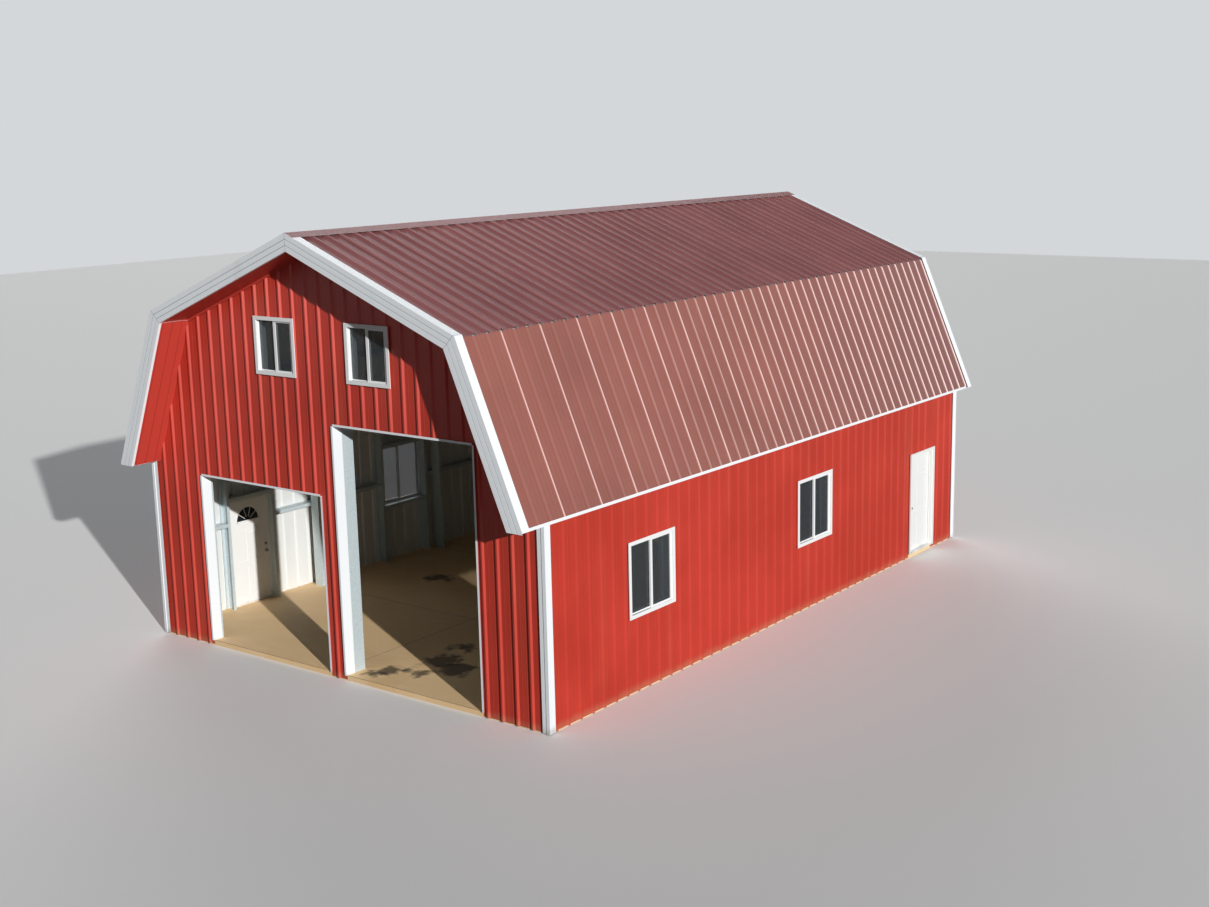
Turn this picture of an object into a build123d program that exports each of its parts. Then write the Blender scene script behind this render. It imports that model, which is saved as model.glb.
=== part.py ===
"""Gambrel barn: a galvanised channel frame on a slab, clad in ribbed steel sheets, with white trim.

Millimetres, X across the front, +Y to the rear, +Z up. The origin is on the ground at the middle of
the roof's length and width. Offsets on a roof slope are measured inwards from the framing line, the
line on which the underside of the roof sheets lies, so that sheets and trim have negative ones.
"""

import os
from dataclasses import dataclass
from math import atan2, ceil, cos, floor, pi, sin

from build123d import *

# Building over the framing
width = 9144.0
length = 14021.0
slab_height = 90.0
eave_height = 3520.0
break_inset = 1078.0
break_height = 6080.0
ridge_height = 7475.0
gable_overhang = 630.0
eave_overhang = 195.0
eave_trim_low = 3285.0

# Steel frame
frame_depth = 203.0
frame_flange = 76.0
girt_depth = 203.0
girt_flange = 64.0
steel = 3.0
end_frame_setback = 305.0
bay_count = 4
gusset_leg = 420.0
gusset_plate = 6.0
lower_purlin_count = 3
upper_purlin_count = 4

# Ribbed sheets
sheet = 1.0
rib_pitch = 304.8
rib_foot = 76.0
rib_crest = 28.0
rib_height = 32.0
gable_rib_datum = -12.0
side_rib_datum = 152.4
roof_rib_datum = 195.0
sheet_foot = 15.0
wall_sheet_top = 3425.0
upper_sheet_lap = 20.0
ridge_gap = 12.0

# Folded trim
trim = 1.5
ridge_cap_leg = 200.0
rake_top_flange = 170.0
lower_rake_depth = 290.0
upper_rake_depth = 270.0
rake_return = 50.0
rake_groove = 4.0
rake_groove_width = 16.0
corner_leg = 150.0
corner_raised = 60.0
corner_step = 9.0
opening_trim_face = 35.0
opening_trim_reach = 168.0
eave_trim_setback = 14.0

# Openings of the front wall
opening_width = 3048.0
small_opening_height = 3048.0
large_opening_height = 4267.0
pier_width = 378.0

# Windows, as their rough openings
side_window_width = 1219.0
side_window_height = 1219.0
side_window_sill = 1306.0
gable_window_width = 914.0
gable_window_height = 914.0
gable_window_sill = 5123.0
gable_window_offset = 1083.0
right_window_places = (2680.0, 7960.0)
left_window_places = (6130.0, 11340.0)
window_flange = 33.0
window_flange_thickness = 12.0
window_frame_face = 30.0
window_frame_depth = 82.0
sash_stile = 56.0
sash_rail = 26.0
sash_depth = 30.0
sash_setback = 26.0
glazing_bead = 14.0
glazing_bead_depth = 24.0
glass_thickness = 6.0

# Doors
door_width = 914.0
door_height = 2032.0
door_thickness = 44.0
right_door_place = 12470.0
left_door_place = 1955.0
door_jamb = 51.0
door_jamb_depth = 116.0
door_jamb_proud = 1.0
door_stop = 12.0
door_stop_depth = 20.0
door_casing = 50.0
door_casing_thickness = 26.0
door_casing_reveal = 38.0
threshold_height = 22.0
door_edge_gap = 6.0
door_latch_gap = 7.0
panel_recess = 6.0
panel_margin = 130.0
panel_gap = 110.0
full_panels = ((150.0, 700.0), (830.0, 1480.0), (1600.0, 1890.0))
light_panels = ((150.0, 700.0), (830.0, 1480.0))
fan_light_radius = 265.0
fan_light_base = 1620.0
knob_height = 940.0
knob_backset = 60.0
deadbolt_rise = 140.0
rosette_radius = 32.0
rosette_thickness = 8.0
neck_radius = 12.0
neck_reach = 30.0
knob_radius = 27.0
knob_reach = 60.0
knob_taper = 25.0
deadbolt_radius = 30.0
deadbolt_thickness = 15.0
turned_sides = 16

# Door hinges
hinge_height = 100.0
hinge_inset = 180.0
hinge_setback = 8.0
knuckle_radius = 6.5
pin_radius = 4.0
pin_clearance = 0.1
hinge_sides = 12
hinge_leaf = 2.0
hinge_leaf_depth = 34.0
hinge_play = 1.0

# Girt heights, to the top of each channel, and the room under the break for its purlin
pier_girt_height = 1802.0
eave_girt_height = 3230.0
break_purlin_room = 260.0

# Clearance between pieces that seat on each other
seat = 0.3

half_width = width / 2
rear_post_spacing = half_width / 2
break_x = half_width - break_inset
roof_length = length + 2 * gable_overhang
roof_front = -roof_length / 2
roof_rear = roof_length / 2
front = roof_front + gable_overhang
rear = front + length
rib_out = rib_height + sheet
trim_seat = rib_out + seat
girt_line = half_width - girt_depth
soffit_lows = tuple(depth - trim_seat - 2 * trim - seat for depth in (lower_rake_depth, upper_rake_depth))
soffit_tops = tuple(low - trim for low in soffit_lows)
wall_tops = tuple(low + seat for low in soffit_lows)
fascia_back = roof_length / 2 - trim - rake_groove - seat

lower_angle = atan2(break_height - eave_height, break_inset)
upper_angle = atan2(ridge_height - break_height, break_x)
lower_out = Vector(sin(lower_angle), 0, cos(lower_angle))
upper_out = Vector(sin(upper_angle), 0, cos(upper_angle))
lower_up = Vector(-cos(lower_angle), 0, sin(lower_angle))
upper_up = Vector(-cos(upper_angle), 0, sin(upper_angle))
eave_point = Vector(half_width, 0, eave_height)
break_point = Vector(break_x, 0, break_height)
ridge_point = Vector(0, 0, ridge_height)
lower_run = (break_point - eave_point).length
upper_run = (ridge_point - break_point).length

# Planes of the right-hand slopes: X towards the front, Y out of the roof, Z up the slope
lower_slope = Plane(origin=eave_point, x_dir=(0, -1, 0), z_dir=lower_up)
upper_slope = Plane(origin=break_point, x_dir=(0, -1, 0), z_dir=upper_up)


def lower_line(offset, x=None, z=None):
    """Point (x, z) of the lower slope at an inward offset, at a given x or height."""
    on_line = eave_point - lower_out * offset
    rise = lower_up.Z / lower_up.X
    if x is None:
        return on_line.X + (z - on_line.Z) / rise, z
    return x, on_line.Z + (x - on_line.X) * rise


def upper_line(offset, x=None, z=None):
    """Point (x, z) of the upper slope at an inward offset, at a given x or height."""
    on_line = break_point - upper_out * offset
    rise = upper_up.Z / upper_up.X
    if x is None:
        return on_line.X + (z - on_line.Z) / rise, z
    return x, on_line.Z + (x - on_line.X) * rise


def break_at(lower_offset, upper_offset):
    """Point (x, z) where the two slopes meet, each at its own inward offset."""
    turn = lower_out.X * upper_out.Z - lower_out.Z * upper_out.X
    x = (upper_offset * lower_out.Z - lower_offset * upper_out.Z) / turn
    z = (lower_offset * upper_out.X - upper_offset * lower_out.X) / turn
    return break_point.X + x, break_point.Z + z


def ridge_at(offset):
    """Point (x, z) of the ridge at an inward offset."""
    return upper_line(offset, x=0)


def half_span(height, lower_offset, upper_offset):
    """Half the width under the roof at a height, each slope at its own inward offset."""
    if height < break_at(lower_offset, upper_offset)[1]:
        return lower_line(lower_offset, z=height)[0]
    return upper_line(upper_offset, z=height)[0]


def under_roof(x, lower_offset, upper_offset):
    """Height under the roof at a distance from the middle, each slope at its own offset."""
    if abs(x) > break_at(lower_offset, upper_offset)[0]:
        return lower_line(lower_offset, x=abs(x))[1]
    return upper_line(upper_offset, x=abs(x))[1]


def mirrored(points):
    """Outline points of the right half with the same points of the left half after them."""
    return points + [(-x, z) for x, z in reversed(points) if x > 0]


@dataclass(frozen=True)
class Wall:
    """A wall's framing face: its middle on the ground, and the way out of it."""

    middle: Vector
    outward: Vector

    @property
    def along(self):
        """To the right, seen from outside."""
        return Vector(0, 0, 1).cross(self.outward)

    def point(self, place, out, height):
        """Point at a place along the wall, a distance out of it and a height."""
        return self.middle + self.along * place + self.outward * out + Vector(0, 0, height)

    def plan(self, height):
        """Plane seen in plan, X along the wall, Y out of it and Z down."""
        return Plane(origin=self.point(0, 0, height), x_dir=self.along, z_dir=(0, 0, -1))

    def face(self, place=0.0, out=0.0, height=0.0):
        """Plane seen from outside, X along the wall, Y up and Z out of it."""
        return Plane(origin=self.point(place, out, height), x_dir=self.along, z_dir=self.outward)


front_wall = Wall(Vector(0, front, 0), Vector(0, -1, 0))
rear_wall = Wall(Vector(0, rear, 0), Vector(0, 1, 0))
right_wall = Wall(Vector(half_width, 0, 0), Vector(1, 0, 0))
left_wall = Wall(Vector(-half_width, 0, 0), Vector(-1, 0, 0))


def right_place(distance):
    """Place along the right wall of a distance from the front."""
    return distance - length / 2


def left_place(distance):
    """Place along the left wall of a distance from the front."""
    return length / 2 - distance


def keep(part, name):
    """Labels a finished piece and writes it."""
    part.part.label = name
    export_step(part.part, f"parts/{name}.step")


def channel(plane, run, depth, flange):
    """Adds a channel that runs along the plane's Z, web on its Y axis, flanges towards its X."""
    with BuildSketch(plane) as profile:
        with BuildLine():
            Polyline((flange, depth / 2), (0, depth / 2), (0, -depth / 2), (flange, -depth / 2))
            offset(amount=steel, kind=Kind.INTERSECTION, side=Side.LEFT)
        make_face()
    extrude(profile.sketch, amount=run, dir=plane.z_dir)


def ribbed_line(start, end, datum):
    """Points of a ribbed sheet's inner face from start to end, with whole ribs on the pitch."""
    first = ceil((start + rib_foot / 2 - datum) / rib_pitch)
    last = floor((end - rib_foot / 2 - datum) / rib_pitch)
    points = [(start, seat)]
    for rib in range(first, last + 1):
        middle = datum + rib * rib_pitch
        points += [
            (middle - rib_foot / 2, seat),
            (middle - rib_crest / 2, rib_height),
            (middle + rib_crest / 2, rib_height),
            (middle + rib_foot / 2, seat),
        ]
    return points + [(end, seat)]


def ribbed_sheet(plane, run, start, end, datum):
    """Adds a ribbed sheet on a plane whose Y points out of it, run along the plane's Z."""
    with BuildSketch(plane) as profile:
        with BuildLine():
            Polyline(*ribbed_line(start, end, datum))
            offset(amount=sheet, kind=Kind.INTERSECTION, side=Side.LEFT)
        make_face()
    extrude(profile.sketch, amount=run, dir=plane.z_dir)


def folded(plane, run, points, side=Side.LEFT):
    """Adds a folded trim that follows a line of points, run along the plane's Z."""
    with BuildSketch(plane) as profile:
        with BuildLine():
            Polyline(*points)
            offset(amount=trim, kind=Kind.INTERSECTION, side=side)
        make_face()
    extrude(profile.sketch, amount=run, dir=plane.z_dir)


def block(plane, low, high, depth, mode=Mode.ADD):
    """Adds or cuts a block between two corners on a plane, along the plane's Z."""
    with BuildSketch(plane) as profile:
        with Locations(((low[0] + high[0]) / 2, (low[1] + high[1]) / 2)):
            Rectangle(high[0] - low[0], high[1] - low[1])
    extrude(profile.sketch, amount=depth, dir=plane.z_dir, mode=mode)


def outline(plane, points, depth, mode=Mode.ADD):
    """Adds, cuts or keeps what lies within a closed outline of points on a plane."""
    with BuildSketch(plane) as profile:
        with BuildLine():
            Polyline(*points, close=True)
        make_face()
    extrude(profile.sketch, amount=depth, dir=plane.z_dir, mode=mode)


# Slab

with BuildPart() as floor_slab:
    block(Plane.XY, (-half_width, front), (half_width, rear), slab_height)
keep(floor_slab, "floor_slab")

# Frames across the building

frame_places = [front + end_frame_setback]
for bay in range(1, bay_count):
    frame_places.append(front + bay * length / bay_count)
frame_places.append(rear - end_frame_setback)


def frame_plane(place):
    """Upright plane across the building whose Z points to the front."""
    return Plane(origin=(0, place, 0), x_dir=(1, 0, 0), z_dir=(0, -1, 0))


frame_outer = girt_depth + seat
frame_inner = frame_outer + frame_depth
column_outer_x = girt_line - seat
column_inner_x = column_outer_x - frame_depth


def frame_member(place, outer_start, outer_end, inner_start, inner_end):
    """Adds a channel of a frame between mitred ends, given its outer and inner corners."""
    plane = frame_plane(place - frame_flange / 2)
    outline(plane, [outer_start, outer_end, inner_end, inner_start], -frame_flange)
    outer = Vector(*outer_end) - Vector(*outer_start)
    inner = Vector(*inner_end) - Vector(*inner_start)
    across = Vector(-outer.Y, outer.X).normalized() * steel
    if across.dot(Vector(*inner_start) - Vector(*outer_start)) < 0:
        across = -across
    lengthen = outer.normalized() * frame_depth
    pocket = [
        Vector(*outer_start) + across - lengthen,
        Vector(*outer_end) + across + lengthen,
        Vector(*inner_end) - across + lengthen,
        Vector(*inner_start) - across - lengthen,
    ]
    pocket_plane = frame_plane(place - frame_flange / 2 + steel)
    outline(pocket_plane, [(p.X, p.Y) for p in pocket], -frame_flange, mode=Mode.SUBTRACT)


def corner_at(x, offset):
    """Point where a frame's column line meets the lower slope at an inward offset."""
    return lower_line(offset, x=x)


knee_outer = corner_at(column_outer_x, frame_outer)
knee_inner = corner_at(column_inner_x, frame_inner)
break_outer = break_at(frame_outer, frame_outer)
break_inner = break_at(frame_inner, frame_inner)
ridge_outer = ridge_at(frame_outer)
ridge_inner = ridge_at(frame_inner)


def frame_row(outer_start, outer_end, inner_start, inner_end):
    """One member and its mirror image in every frame, as a list of solids."""
    solids = []
    for place in frame_places:
        with BuildPart() as member:
            frame_member(place, outer_start, outer_end, inner_start, inner_end)
        solids += [member.part, mirror(member.part, about=Plane.YZ)]
    return solids


def shortened(start, end, gap):
    """The start of a line moved along it by a gap."""
    step = (Vector(*end) - Vector(*start)).normalized() * gap
    return start[0] + step.X, start[1] + step.Y


column_foot = slab_height + seat
with BuildPart() as side_columns:
    add(
        frame_row(
            (column_outer_x, column_foot),
            shortened(knee_outer, (column_outer_x, column_foot), seat),
            (column_inner_x, column_foot),
            shortened(knee_inner, (column_inner_x, column_foot), seat),
        )
    )
keep(side_columns, "side_columns")

with BuildPart() as lower_rafters:
    add(
        frame_row(
            knee_outer,
            shortened(break_outer, knee_outer, seat),
            knee_inner,
            shortened(break_inner, knee_inner, seat),
        )
    )
keep(lower_rafters, "lower_rafters")

with BuildPart() as upper_rafters:
    add(
        frame_row(
            break_outer,
            shortened(ridge_outer, break_outer, seat),
            break_inner,
            shortened(ridge_inner, break_inner, seat),
        )
    )
keep(upper_rafters, "upper_rafters")


def gusset_outline(outer_low, outer, outer_high, inner_low, inner, inner_high):
    """Outline of a plate that follows two members round their joint."""
    return [
        shortened(outer, outer_low, gusset_leg),
        outer,
        shortened(outer, outer_high, gusset_leg),
        shortened(inner, inner_high, gusset_leg),
        inner,
        shortened(inner, inner_low, gusset_leg),
    ]


knee_gusset = gusset_outline(
    (column_outer_x, 0), knee_outer, break_outer, (column_inner_x, 0), knee_inner, break_inner
)
break_gusset = gusset_outline(
    knee_outer, break_outer, ridge_outer, knee_inner, break_inner, ridge_inner
)
ridge_gusset = gusset_outline(
    break_outer, ridge_outer, (-break_outer[0], break_outer[1]),
    break_inner, ridge_inner, (-break_inner[0], break_inner[1]),
)

with BuildPart() as frame_gussets:
    for place in frame_places:
        plate_plane = frame_plane(place - frame_flange / 2 - seat)
        for gusset in (knee_gusset, break_gusset):
            outline(plate_plane, gusset, gusset_plate)
            outline(plate_plane, [(-x, z) for x, z in gusset], gusset_plate)
        outline(plate_plane, ridge_gusset, gusset_plate)
keep(frame_gussets, "frame_gussets")

# Purlins along the building, from fascia to fascia


def purlin_places(run, count):
    """Distances up a slope at which its purlins stand."""
    return [step * (run - girt_flange) / (count - 1) for step in range(count)]


def purlin_row(slope, places):
    """The purlins of a slope and their mirror images, as a list of solids."""
    solids = []
    for place in places:
        start = slope.from_local_coords(Vector(fascia_back, -girt_depth / 2, place))
        with BuildPart() as purlin:
            plane = Plane(origin=start, x_dir=slope.z_dir, z_dir=(0, 1, 0))
            channel(plane, 2 * fascia_back, girt_depth - 2 * seat, girt_flange)
        solids += [purlin.part, mirror(purlin.part, about=Plane.YZ)]
    return solids


with BuildPart() as lower_purlins:
    add(purlin_row(lower_slope, purlin_places(lower_run - break_purlin_room, lower_purlin_count)))
keep(lower_purlins, "lower_purlins")

with BuildPart() as upper_purlins:
    ridge_clearance = girt_depth * sin(upper_angle) / cos(upper_angle)
    add(purlin_row(upper_slope, purlin_places(upper_run - ridge_clearance, upper_purlin_count)))
keep(upper_purlins, "upper_purlins")

# Girts and posts in the walls


def clear_runs(start, end, blocks):
    """Stretches between start and end that the blocks leave free."""
    runs = []
    for low, high in sorted(blocks):
        if low - start > girt_flange:
            runs.append((start, low))
        start = max(start, high)
    if end - start > girt_flange:
        runs.append((start, end))
    return runs


def girt(wall, low, high, top, inner=seat):
    """Adds a girt of a wall: web on top, flanges down."""
    origin = wall.point(low + inner, -seat - (girt_depth - seat) / 2, top)
    plane = Plane(origin=origin, x_dir=(0, 0, -1), z_dir=wall.along)
    channel(plane, high - low - 2 * inner, girt_depth - seat, girt_flange)


def stud(wall, place, low, high, towards):
    """Adds an upright channel with its web at a place and its flanges to one side."""
    origin = wall.point(place, -seat - (girt_depth - seat) / 2, low)
    plane = Plane(origin=origin, x_dir=wall.along * towards, z_dir=(0, 0, 1))
    channel(plane, high - low, girt_depth - seat, girt_flange)


door_frame_width = door_width + door_edge_gap + door_latch_gap + 2 * door_jamb
door_rough_width = door_frame_width + 2 * seat
leaf_foot = slab_height + threshold_height + door_edge_gap
leaf_top = leaf_foot + door_height
door_head = leaf_top + door_edge_gap
door_rough_top = door_head + door_jamb + seat


@dataclass(frozen=True)
class SideWall:
    """A side wall with its windows and its door, as places along the wall."""

    wall: Wall
    windows: tuple
    door: float


right_side = SideWall(
    right_wall, tuple(right_place(d) for d in right_window_places), right_place(right_door_place)
)
left_side = SideWall(
    left_wall, tuple(left_place(d) for d in left_window_places), left_place(left_door_place)
)
window_rough_half = side_window_width / 2 + seat
window_rough_top = side_window_sill + side_window_height
girt_end = length / 2


def side_blocks(side):
    """Stretches of a side wall that its windows and door take, with their studs."""
    blocks = []
    for window in side.windows:
        blocks.append((window - window_rough_half - girt_flange, window + window_rough_half + girt_flange))
    half = door_rough_width / 2 + girt_flange
    blocks.append((side.door - half, side.door + half))
    return blocks


with BuildPart() as side_girts:
    for side in (right_side, left_side):
        girt(side.wall, -girt_end, girt_end, eave_girt_height)
        for low, high in clear_runs(-girt_end, girt_end, side_blocks(side)):
            girt(side.wall, low, high, pier_girt_height)
keep(side_girts, "side_girts")

stud_foot = slab_height + seat
stud_top = eave_girt_height - girt_flange - seat

with BuildPart() as opening_studs:
    for side in (right_side, left_side):
        for window in side.windows:
            for towards in (-1, 1):
                edge = window + towards * window_rough_half
                stud(side.wall, edge, stud_foot, stud_top, towards)
            low, high = window - window_rough_half, window + window_rough_half
            girt(side.wall, low, high, side_window_sill - seat)
            girt(side.wall, low, high, window_rough_top + girt_flange + seat)
        for towards in (-1, 1):
            edge = side.door + towards * door_rough_width / 2
            stud(side.wall, edge, stud_foot, stud_top, towards)
        low, high = side.door - door_rough_width / 2, side.door + door_rough_width / 2
        girt(side.wall, low, high, door_rough_top + girt_flange)
keep(opening_studs, "opening_studs")

pier_edge = pier_width / 2
opening_edge = pier_edge + opening_width
small_clear_top = slab_height + small_opening_height
large_clear_top = slab_height + large_opening_height
front_posts = ((-opening_edge, -1), (-pier_edge, 1), (pier_edge, -1), (opening_edge, 1))
rear_posts = ((-rear_post_spacing, -1), (0.0, 1), (rear_post_spacing, 1))


def post_height(x, towards):
    """Height at which a gable post meets the soffit line."""
    return under_roof(max(abs(x), abs(x + towards * girt_flange)), *wall_tops) - seat


with BuildPart() as gable_posts:
    for x, towards in front_posts:
        stud(front_wall, x, stud_foot, post_height(x, towards), towards)
    for x, towards in rear_posts:
        stud(rear_wall, x, stud_foot, post_height(x, towards), towards)
    pier_post_run = under_roof(pier_edge, frame_inner, frame_inner) - seat - stud_foot
    for towards in (-1, 1):
        post_middle = -girt_depth - seat - frame_depth / 2
        post_foot = front_wall.point(-towards * pier_edge, post_middle, stud_foot)
        post_plane = Plane(origin=post_foot, x_dir=(towards, 0, 0), z_dir=(0, 0, 1))
        channel(post_plane, pier_post_run, frame_depth, frame_flange)
keep(gable_posts, "gable_posts")


def post_blocks(posts):
    """Stretches of a gable wall that its posts take."""
    return [(min(x, x + t * girt_flange), max(x, x + t * girt_flange)) for x, t in posts]


def gable_girt_row(wall, top, blocks):
    """Adds the girts of a gable wall at one height between its posts."""
    reach = min(girt_line, half_span(top, *wall_tops)) - seat
    for low, high in clear_runs(-reach, reach, [b for b in blocks if abs(b[0]) < reach]):
        girt(wall, low, high, top)


small_opening_block = (-opening_edge, -pier_edge)
large_opening_block = (pier_edge, opening_edge)
pier_block = (-pier_edge, pier_edge)
small_header_height = small_clear_top + girt_flange + seat
large_header_height = large_clear_top + girt_flange + seat
gable_sill_height = gable_window_sill - seat
gable_head_height = gable_window_sill + gable_window_height + girt_flange + seat

with BuildPart() as gable_girts:
    front_blocks = post_blocks(front_posts) + [pier_block]
    doorways = [small_opening_block, large_opening_block]
    for top in (pier_girt_height, eave_girt_height):
        gable_girt_row(front_wall, top, front_blocks + doorways)
    girt(front_wall, *small_opening_block, small_header_height)
    for top in (large_header_height, gable_sill_height, gable_head_height):
        gable_girt_row(front_wall, top, front_blocks)
    rear_levels = (
        pier_girt_height, eave_girt_height, large_header_height, gable_sill_height, gable_head_height
    )
    for top in rear_levels:
        gable_girt_row(rear_wall, top, post_blocks(rear_posts))
    for wall in (front_wall, rear_wall):
        for window in (-gable_window_offset, gable_window_offset):
            for towards in (-1, 1):
                edge = window + towards * (gable_window_width / 2 + seat)
                low = gable_sill_height + seat
                stud(wall, edge, low, gable_head_height - girt_flange - seat, towards)
keep(gable_girts, "gable_girts")

# Wall sheets


def gable_outline():
    """Outline of a gable wall under its soffit."""
    low_x, low_z = lower_line(wall_tops[0], z=eave_trim_low - seat)
    return mirrored(
        [
            (half_width + eave_overhang, 0),
            (half_width + eave_overhang, low_z),
            (low_x, low_z),
            break_at(*wall_tops),
            ridge_at(wall_tops[1]),
        ]
    )


def gable_sheets(wall, low, high, foot, holes, rib_datum=gable_rib_datum):
    """Adds a gable wall's sheets between two places, cut to the roof and round its windows."""
    ribbed_sheet(wall.plan(ridge_height), ridge_height - foot, low, high, rib_datum)
    outline(wall.face(), gable_outline(), rib_out + seat, mode=Mode.INTERSECT)
    for hole in holes:
        cut_window(wall, hole, gable_window_sill, gable_window_width, gable_window_height)


def cut_window(wall, place, sill, hole_width, hole_height):
    """Cuts a window's rough opening through a sheet."""
    low = (place - hole_width / 2, sill)
    high = (place + hole_width / 2, sill + hole_height)
    block(wall.face(), low, high, rib_out + seat, mode=Mode.SUBTRACT)


with BuildPart() as front_wall_left_sheets:
    gable_sheets(front_wall, -half_width, -opening_edge - seat, sheet_foot, [])
keep(front_wall_left_sheets, "front_wall_left_sheets")

with BuildPart() as front_wall_right_sheets:
    gable_sheets(front_wall, opening_edge + seat, half_width, sheet_foot, [])
keep(front_wall_right_sheets, "front_wall_right_sheets")

with BuildPart() as front_wall_pier_sheet:
    gable_sheets(front_wall, -pier_edge + seat, pier_edge - seat, sheet_foot, [])
keep(front_wall_pier_sheet, "front_wall_pier_sheet")

with BuildPart() as small_opening_head_sheets:
    foot = small_clear_top + seat
    gable_sheets(front_wall, -opening_edge, -pier_edge, foot, [-gable_window_offset])
keep(small_opening_head_sheets, "small_opening_head_sheets")

with BuildPart() as large_opening_head_sheets:
    foot = large_clear_top + seat
    gable_sheets(front_wall, pier_edge, opening_edge, foot, [gable_window_offset])
keep(large_opening_head_sheets, "large_opening_head_sheets")

with BuildPart() as rear_wall_sheets:
    rear_windows = [-gable_window_offset, gable_window_offset]
    gable_sheets(rear_wall, -half_width, half_width, sheet_foot, rear_windows, -gable_rib_datum)
keep(rear_wall_sheets, "rear_wall_sheets")


def side_sheets(side, low, high, foot, name):
    """One stretch of a side wall's sheets, with the windows that lie in it."""
    with BuildPart() as stretch:
        ribbed_sheet(side.wall.plan(wall_sheet_top), wall_sheet_top - foot, low, high, side_rib_datum)
        for window in side.windows:
            if low < window < high:
                cut_window(side.wall, window, side_window_sill, side_window_width, side_window_height)
    keep(stretch, name)


right_door_low = right_side.door - door_rough_width / 2
right_door_high = right_side.door + door_rough_width / 2
left_door_low = left_side.door - door_rough_width / 2
left_door_high = left_side.door + door_rough_width / 2
side_sheets(right_side, -girt_end, right_door_low, sheet_foot, "right_wall_front_sheets")
side_sheets(right_side, right_door_high, girt_end, sheet_foot, "right_wall_rear_sheets")
side_sheets(
    right_side, right_door_low + seat, right_door_high - seat, door_rough_top, "right_door_head_sheet"
)
side_sheets(left_side, -girt_end, left_door_low, sheet_foot, "left_wall_rear_sheets")
side_sheets(left_side, left_door_high, girt_end, sheet_foot, "left_wall_front_sheets")
side_sheets(
    left_side, left_door_low + seat, left_door_high - seat, door_rough_top, "left_door_head_sheet"
)

# Roof sheets, the upper ones lapping over the lower ones at the break

sheet_reach = fascia_back
mitre_spare = 2 * eave_overhang
rake_flange_reach = roof_length / 2 - rake_top_flange - 2 * seat
break_mitre = Plane(origin=break_point, x_dir=(0, 1, 0), z_dir=(upper_up + lower_up).normalized())

with BuildPart() as right_lower_roof_sheets:
    start = lower_slope.offset(-eave_overhang)
    run = eave_overhang + lower_run + upper_sheet_lap
    ribbed_sheet(start, run, -sheet_reach, sheet_reach, roof_rib_datum)
    under_upper = Plane(origin=break_point - upper_out * (sheet + seat), z_dir=upper_out)
    split(bisect_by=under_upper, keep=Keep.BOTTOM)
keep(right_lower_roof_sheets, "right_lower_roof_sheets")

with BuildPart() as left_lower_roof_sheets:
    add(mirror(right_lower_roof_sheets.part, about=Plane.YZ))
keep(left_lower_roof_sheets, "left_lower_roof_sheets")

with BuildPart() as right_upper_roof_sheets:
    start = upper_slope.offset(-upper_sheet_lap)
    run = upper_sheet_lap + upper_run - ridge_gap
    ribbed_sheet(start, run, -sheet_reach, sheet_reach, roof_rib_datum)
    for low, high in ((-sheet_reach - seat, -rake_flange_reach), (rake_flange_reach, sheet_reach + seat)):
        cut_low, cut_high = (low, -2 * rib_out), (high, 2 * rib_out)
        block(break_mitre, cut_low, cut_high, -mitre_spare, mode=Mode.SUBTRACT)
keep(right_upper_roof_sheets, "right_upper_roof_sheets")

with BuildPart() as left_upper_roof_sheets:
    add(mirror(right_upper_roof_sheets.part, about=Plane.YZ))
keep(left_upper_roof_sheets, "left_upper_roof_sheets")

with BuildPart() as ridge_cap:
    cap_foot = ridge_at(-trim_seat - trim - seat)
    leg = upper_up * ridge_cap_leg
    cap_points = mirrored([(cap_foot[0] - leg.X, cap_foot[1] - leg.Z), cap_foot])
    folded(frame_plane(roof_rear), roof_length, cap_points, Side.RIGHT)
keep(ridge_cap, "ridge_cap")

# Rake trim on the gable ends: flange on the ribs, grooved fascia, return under the soffit


def rake_points(depth):
    """Inner line of the rake trim, across the slope: X towards the front, Y out of the roof."""
    face = roof_length / 2 - trim
    top = trim_seat
    low = trim_seat + 2 * trim - depth
    points = [(face - rake_top_flange, top), (face, top)]
    for third in (1, 2):
        groove = top - depth * third / 3
        points += [
            (face, groove + rake_groove_width / 2),
            (face - rake_groove, groove),
            (face, groove - rake_groove_width / 2),
        ]
    return points + [(face, low), (face - rake_return, low)]


eave_end = half_width + eave_trim_setback + eave_overhang * cos(lower_angle) + trim_seat
rake_outer = Vector(*break_at(-trim_seat - trim, -trim_seat - trim))
rake_inner = Vector(*break_at(lower_rake_depth - trim_seat - trim, upper_rake_depth - trim_seat - trim))
rake_seam = (rake_outer - rake_inner).normalized()
rake_mitre = Plane(
    origin=(rake_outer.X, 0, rake_outer.Y), x_dir=(0, 1, 0), z_dir=(-rake_seam.Y, 0, rake_seam.X)
)


def rake_pieces():
    """The four pieces of the front rake trim."""
    with BuildPart() as lower_piece:
        lower_line_points = rake_points(lower_rake_depth)
        folded(lower_slope.offset(-mitre_spare), lower_run + 2 * mitre_spare, lower_line_points)
        split(bisect_by=rake_mitre.offset(-seat), keep=Keep.BOTTOM)
        split(bisect_by=Plane.XY.offset(eave_trim_low), keep=Keep.TOP)
        split(bisect_by=Plane.YZ.offset(eave_end), keep=Keep.BOTTOM)
    with BuildPart() as upper_piece:
        upper_line_points = rake_points(upper_rake_depth)
        folded(upper_slope.offset(-mitre_spare), upper_run + 2 * mitre_spare, upper_line_points)
        split(bisect_by=rake_mitre, keep=Keep.TOP)
        split(bisect_by=Plane.YZ.offset(seat), keep=Keep.TOP)
    right = [lower_piece.part, upper_piece.part]
    return right + [mirror(piece, about=Plane.YZ) for piece in right]


front_rake = rake_pieces()
with BuildPart() as front_rake_trim:
    add(front_rake)
keep(front_rake_trim, "front_rake_trim")

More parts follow.
